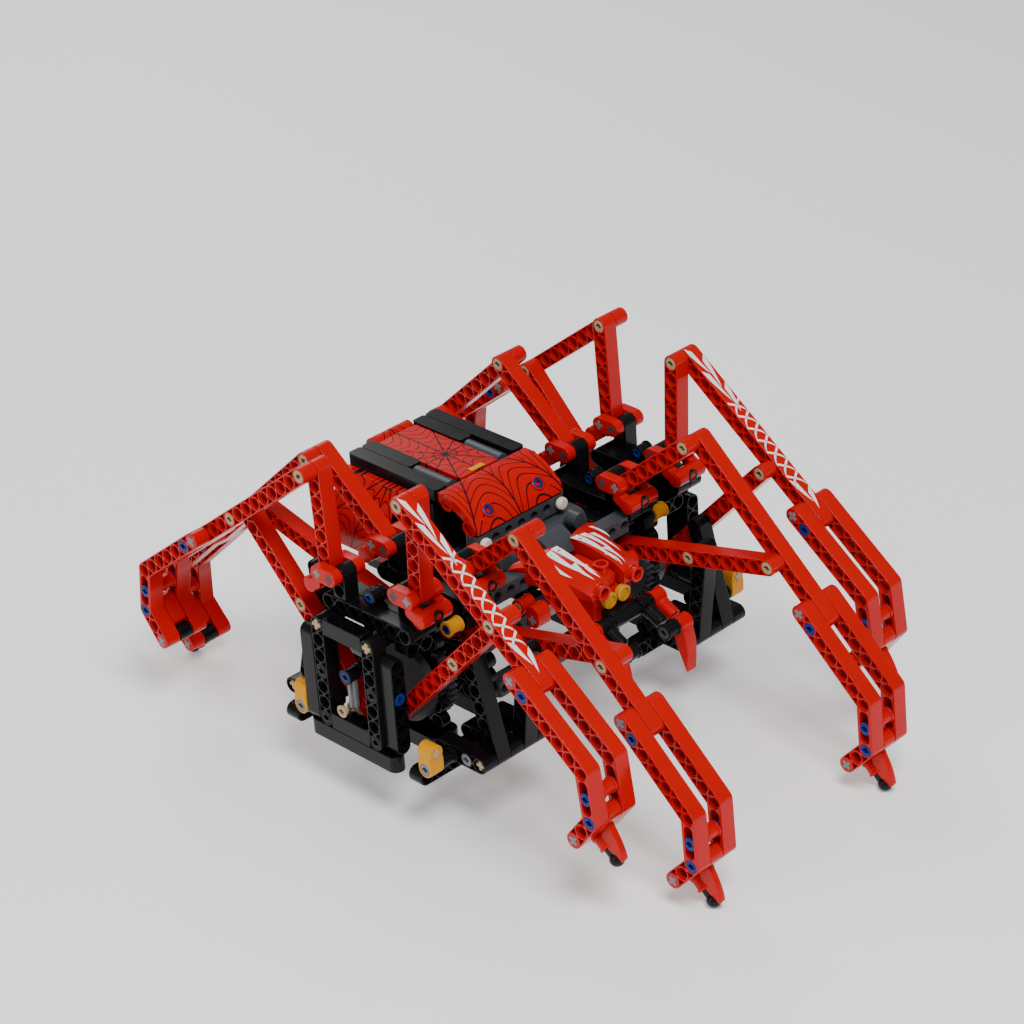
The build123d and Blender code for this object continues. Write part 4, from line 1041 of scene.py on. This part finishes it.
NECK_X, NECK_HUB_Y, NECK_HUB_Z = 3.5, -5.0, -3.7
STUD_X, STUD_Y, STUD_Z, STUD_LEAN = 1.95, 0.1, 0.53, 48  # blue pins on the hood's slope
NECK_HUB = block_mesh("neck_hub", strip([(0, 0), (0, 3)]), HALF, [PLUS])
NECK_AXLE = axle_mesh("neck_axle", 1.3 * PITCH)
BONNET_EAR = bush_mesh("bonnet_ear", HALF, HALF)
STUD_RIM = block_mesh("stud_rim", circle((0, 0), 3.4, FINE_ROUND), 0.5,
                      [circle((0, 0), 2.6, FINE_ROUND)])
STUD_PIN = block_mesh("stud_pin", circle((0, 0), 2.5, FINE_ROUND), 0.35, [PIN_HOLLOW])
LEAN = Matrix.Rotation(math.radians(STUD_LEAN), 4, "X") @ FACE_Z
for side_name, side in SIDES.items():
    piece = put(f"cheek_{side_name}", cheek_mesh(side), red, "chassis", slot="red")
    put(f"flare_{side_name}", flare_mesh(side), white, "chassis")
    put(f"cheek_tube_{side_name}", HALF_BUSH, red, "chassis", side * 1.3, -7.75, -2.1, FACE_Y)
    put(f"neck_joiner_{side_name}", BUSH, red, "chassis", side * NECK_X, -3.9, -3.3)
    put(f"neck_joiner_pin_{side_name}", PIN, cream, "chassis", side * NECK_X, -3.9, -3.3)
    put(f"neck_hub_{side_name}", NECK_HUB, red, "chassis", side * NECK_X, NECK_HUB_Y, NECK_HUB_Z)
    put(f"neck_axle_{side_name}", NECK_AXLE, light_grey, "chassis", side * 2.7, NECK_HUB_Y, NECK_HUB_Z)
    for label, y, z in (("top", 1.85, 0.92), ("front", 0.2, -0.12)):
        put(f"bonnet_ear_{label}_{side_name}", BONNET_EAR, red, "chassis", side * 2.95, y, z)
    put(f"bonnet_rim_{side_name}", STUD_RIM, red, "chassis", side * STUD_X, STUD_Y, STUD_Z, LEAN)
    put(f"bonnet_pin_{side_name}", STUD_PIN, blue, "chassis", side * STUD_X, STUD_Y, STUD_Z, LEAN)
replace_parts(piece, "head_cheeks")


# ---- stage, lights and camera -------------------------------------------------------
FLOOR_HALF = 6.0
FLOOR_GLOW, FLOOR_ROUGHNESS, WORLD_LIGHT = 0.2, 0.7, 0.36
WHITE = (1, 1, 1, 1)
AIM = Vector((0, 0, 0.08))  # the middle of the robot
LIGHTS = (  # name, place in metres, power, width
    ("key", (-0.35, -0.75, 1.35), 20, 0.5),
    ("fill", (-1.2, 0.2, 0.6), 4, 0.9),
    ("back", (0.4, 1.1, 1.0), 8, 0.8),
)
# The camera's three directions, its place in metres and its lens, fitted to the pin-hole grid.
CAMERA_RIGHT = Vector((0.70634, -0.70525, -0.06090))
CAMERA_DOWN = Vector((-0.38035, -0.30556, -0.87291))
CAMERA_FORWARD = Vector((0.59701, 0.63973, -0.48407))
CAMERA_PLACE = (-0.83395, -0.89142, 0.78160)
CAMERA_LENS, CAMERA_SENSOR = 110.47, 36


def add_floor():
    """Flat pale floor."""
    data = bpy.data.meshes.new("floor")
    corners = [(x * FLOOR_HALF, y * FLOOR_HALF, 0) for x, y in ((-1, -1), (1, -1), (1, 1), (-1, 1))]
    data.from_pydata(corners, [], [(0, 1, 2, 3)])
    floor = bpy.data.objects.new("floor", data)
    bpy.context.scene.collection.objects.link(floor)
    pale = bpy.data.materials.new("pale_floor")
    pale.use_nodes = True
    shader = pale.node_tree.nodes["Principled BSDF"]
    shader.inputs["Base Color"].default_value = WHITE
    shader.inputs["Emission Color"].default_value = WHITE
    shader.inputs["Emission Strength"].default_value = FLOOR_GLOW
    shader.inputs["Roughness"].default_value = FLOOR_ROUGHNESS
    data.materials.append(pale)


def add_lights():
    """Even light from all round and three soft lamps."""
    world = bpy.data.worlds.new("studio")
    world.use_nodes = True
    background = world.node_tree.nodes["Background"]
    background.inputs["Color"].default_value = WHITE
    background.inputs["Strength"].default_value = WORLD_LIGHT
    bpy.context.scene.world = world
    for name, place, power, width in LIGHTS:
        light = bpy.data.lights.new(name, "AREA")
        light.energy = power
        light.size = width
        made = bpy.data.objects.new(name, light)
        made.location = place
        made.rotation_euler = (AIM - Vector(place)).to_track_quat("-Z", "Y").to_euler()
        bpy.context.scene.collection.objects.link(made)


def add_camera():
    """Camera at the photograph's angle."""
    lens = bpy.data.cameras.new("camera")
    lens.lens = CAMERA_LENS
    lens.sensor_width = CAMERA_SENSOR
    camera = bpy.data.objects.new("camera", lens)
    turn = Matrix((CAMERA_RIGHT, -CAMERA_DOWN, -CAMERA_FORWARD)).transposed().to_4x4()
    camera.matrix_world = Matrix.Translation(CAMERA_PLACE) @ turn
    bpy.context.scene.collection.objects.link(camera)
    bpy.context.scene.camera = camera


add_floor()
add_lights()
add_camera()
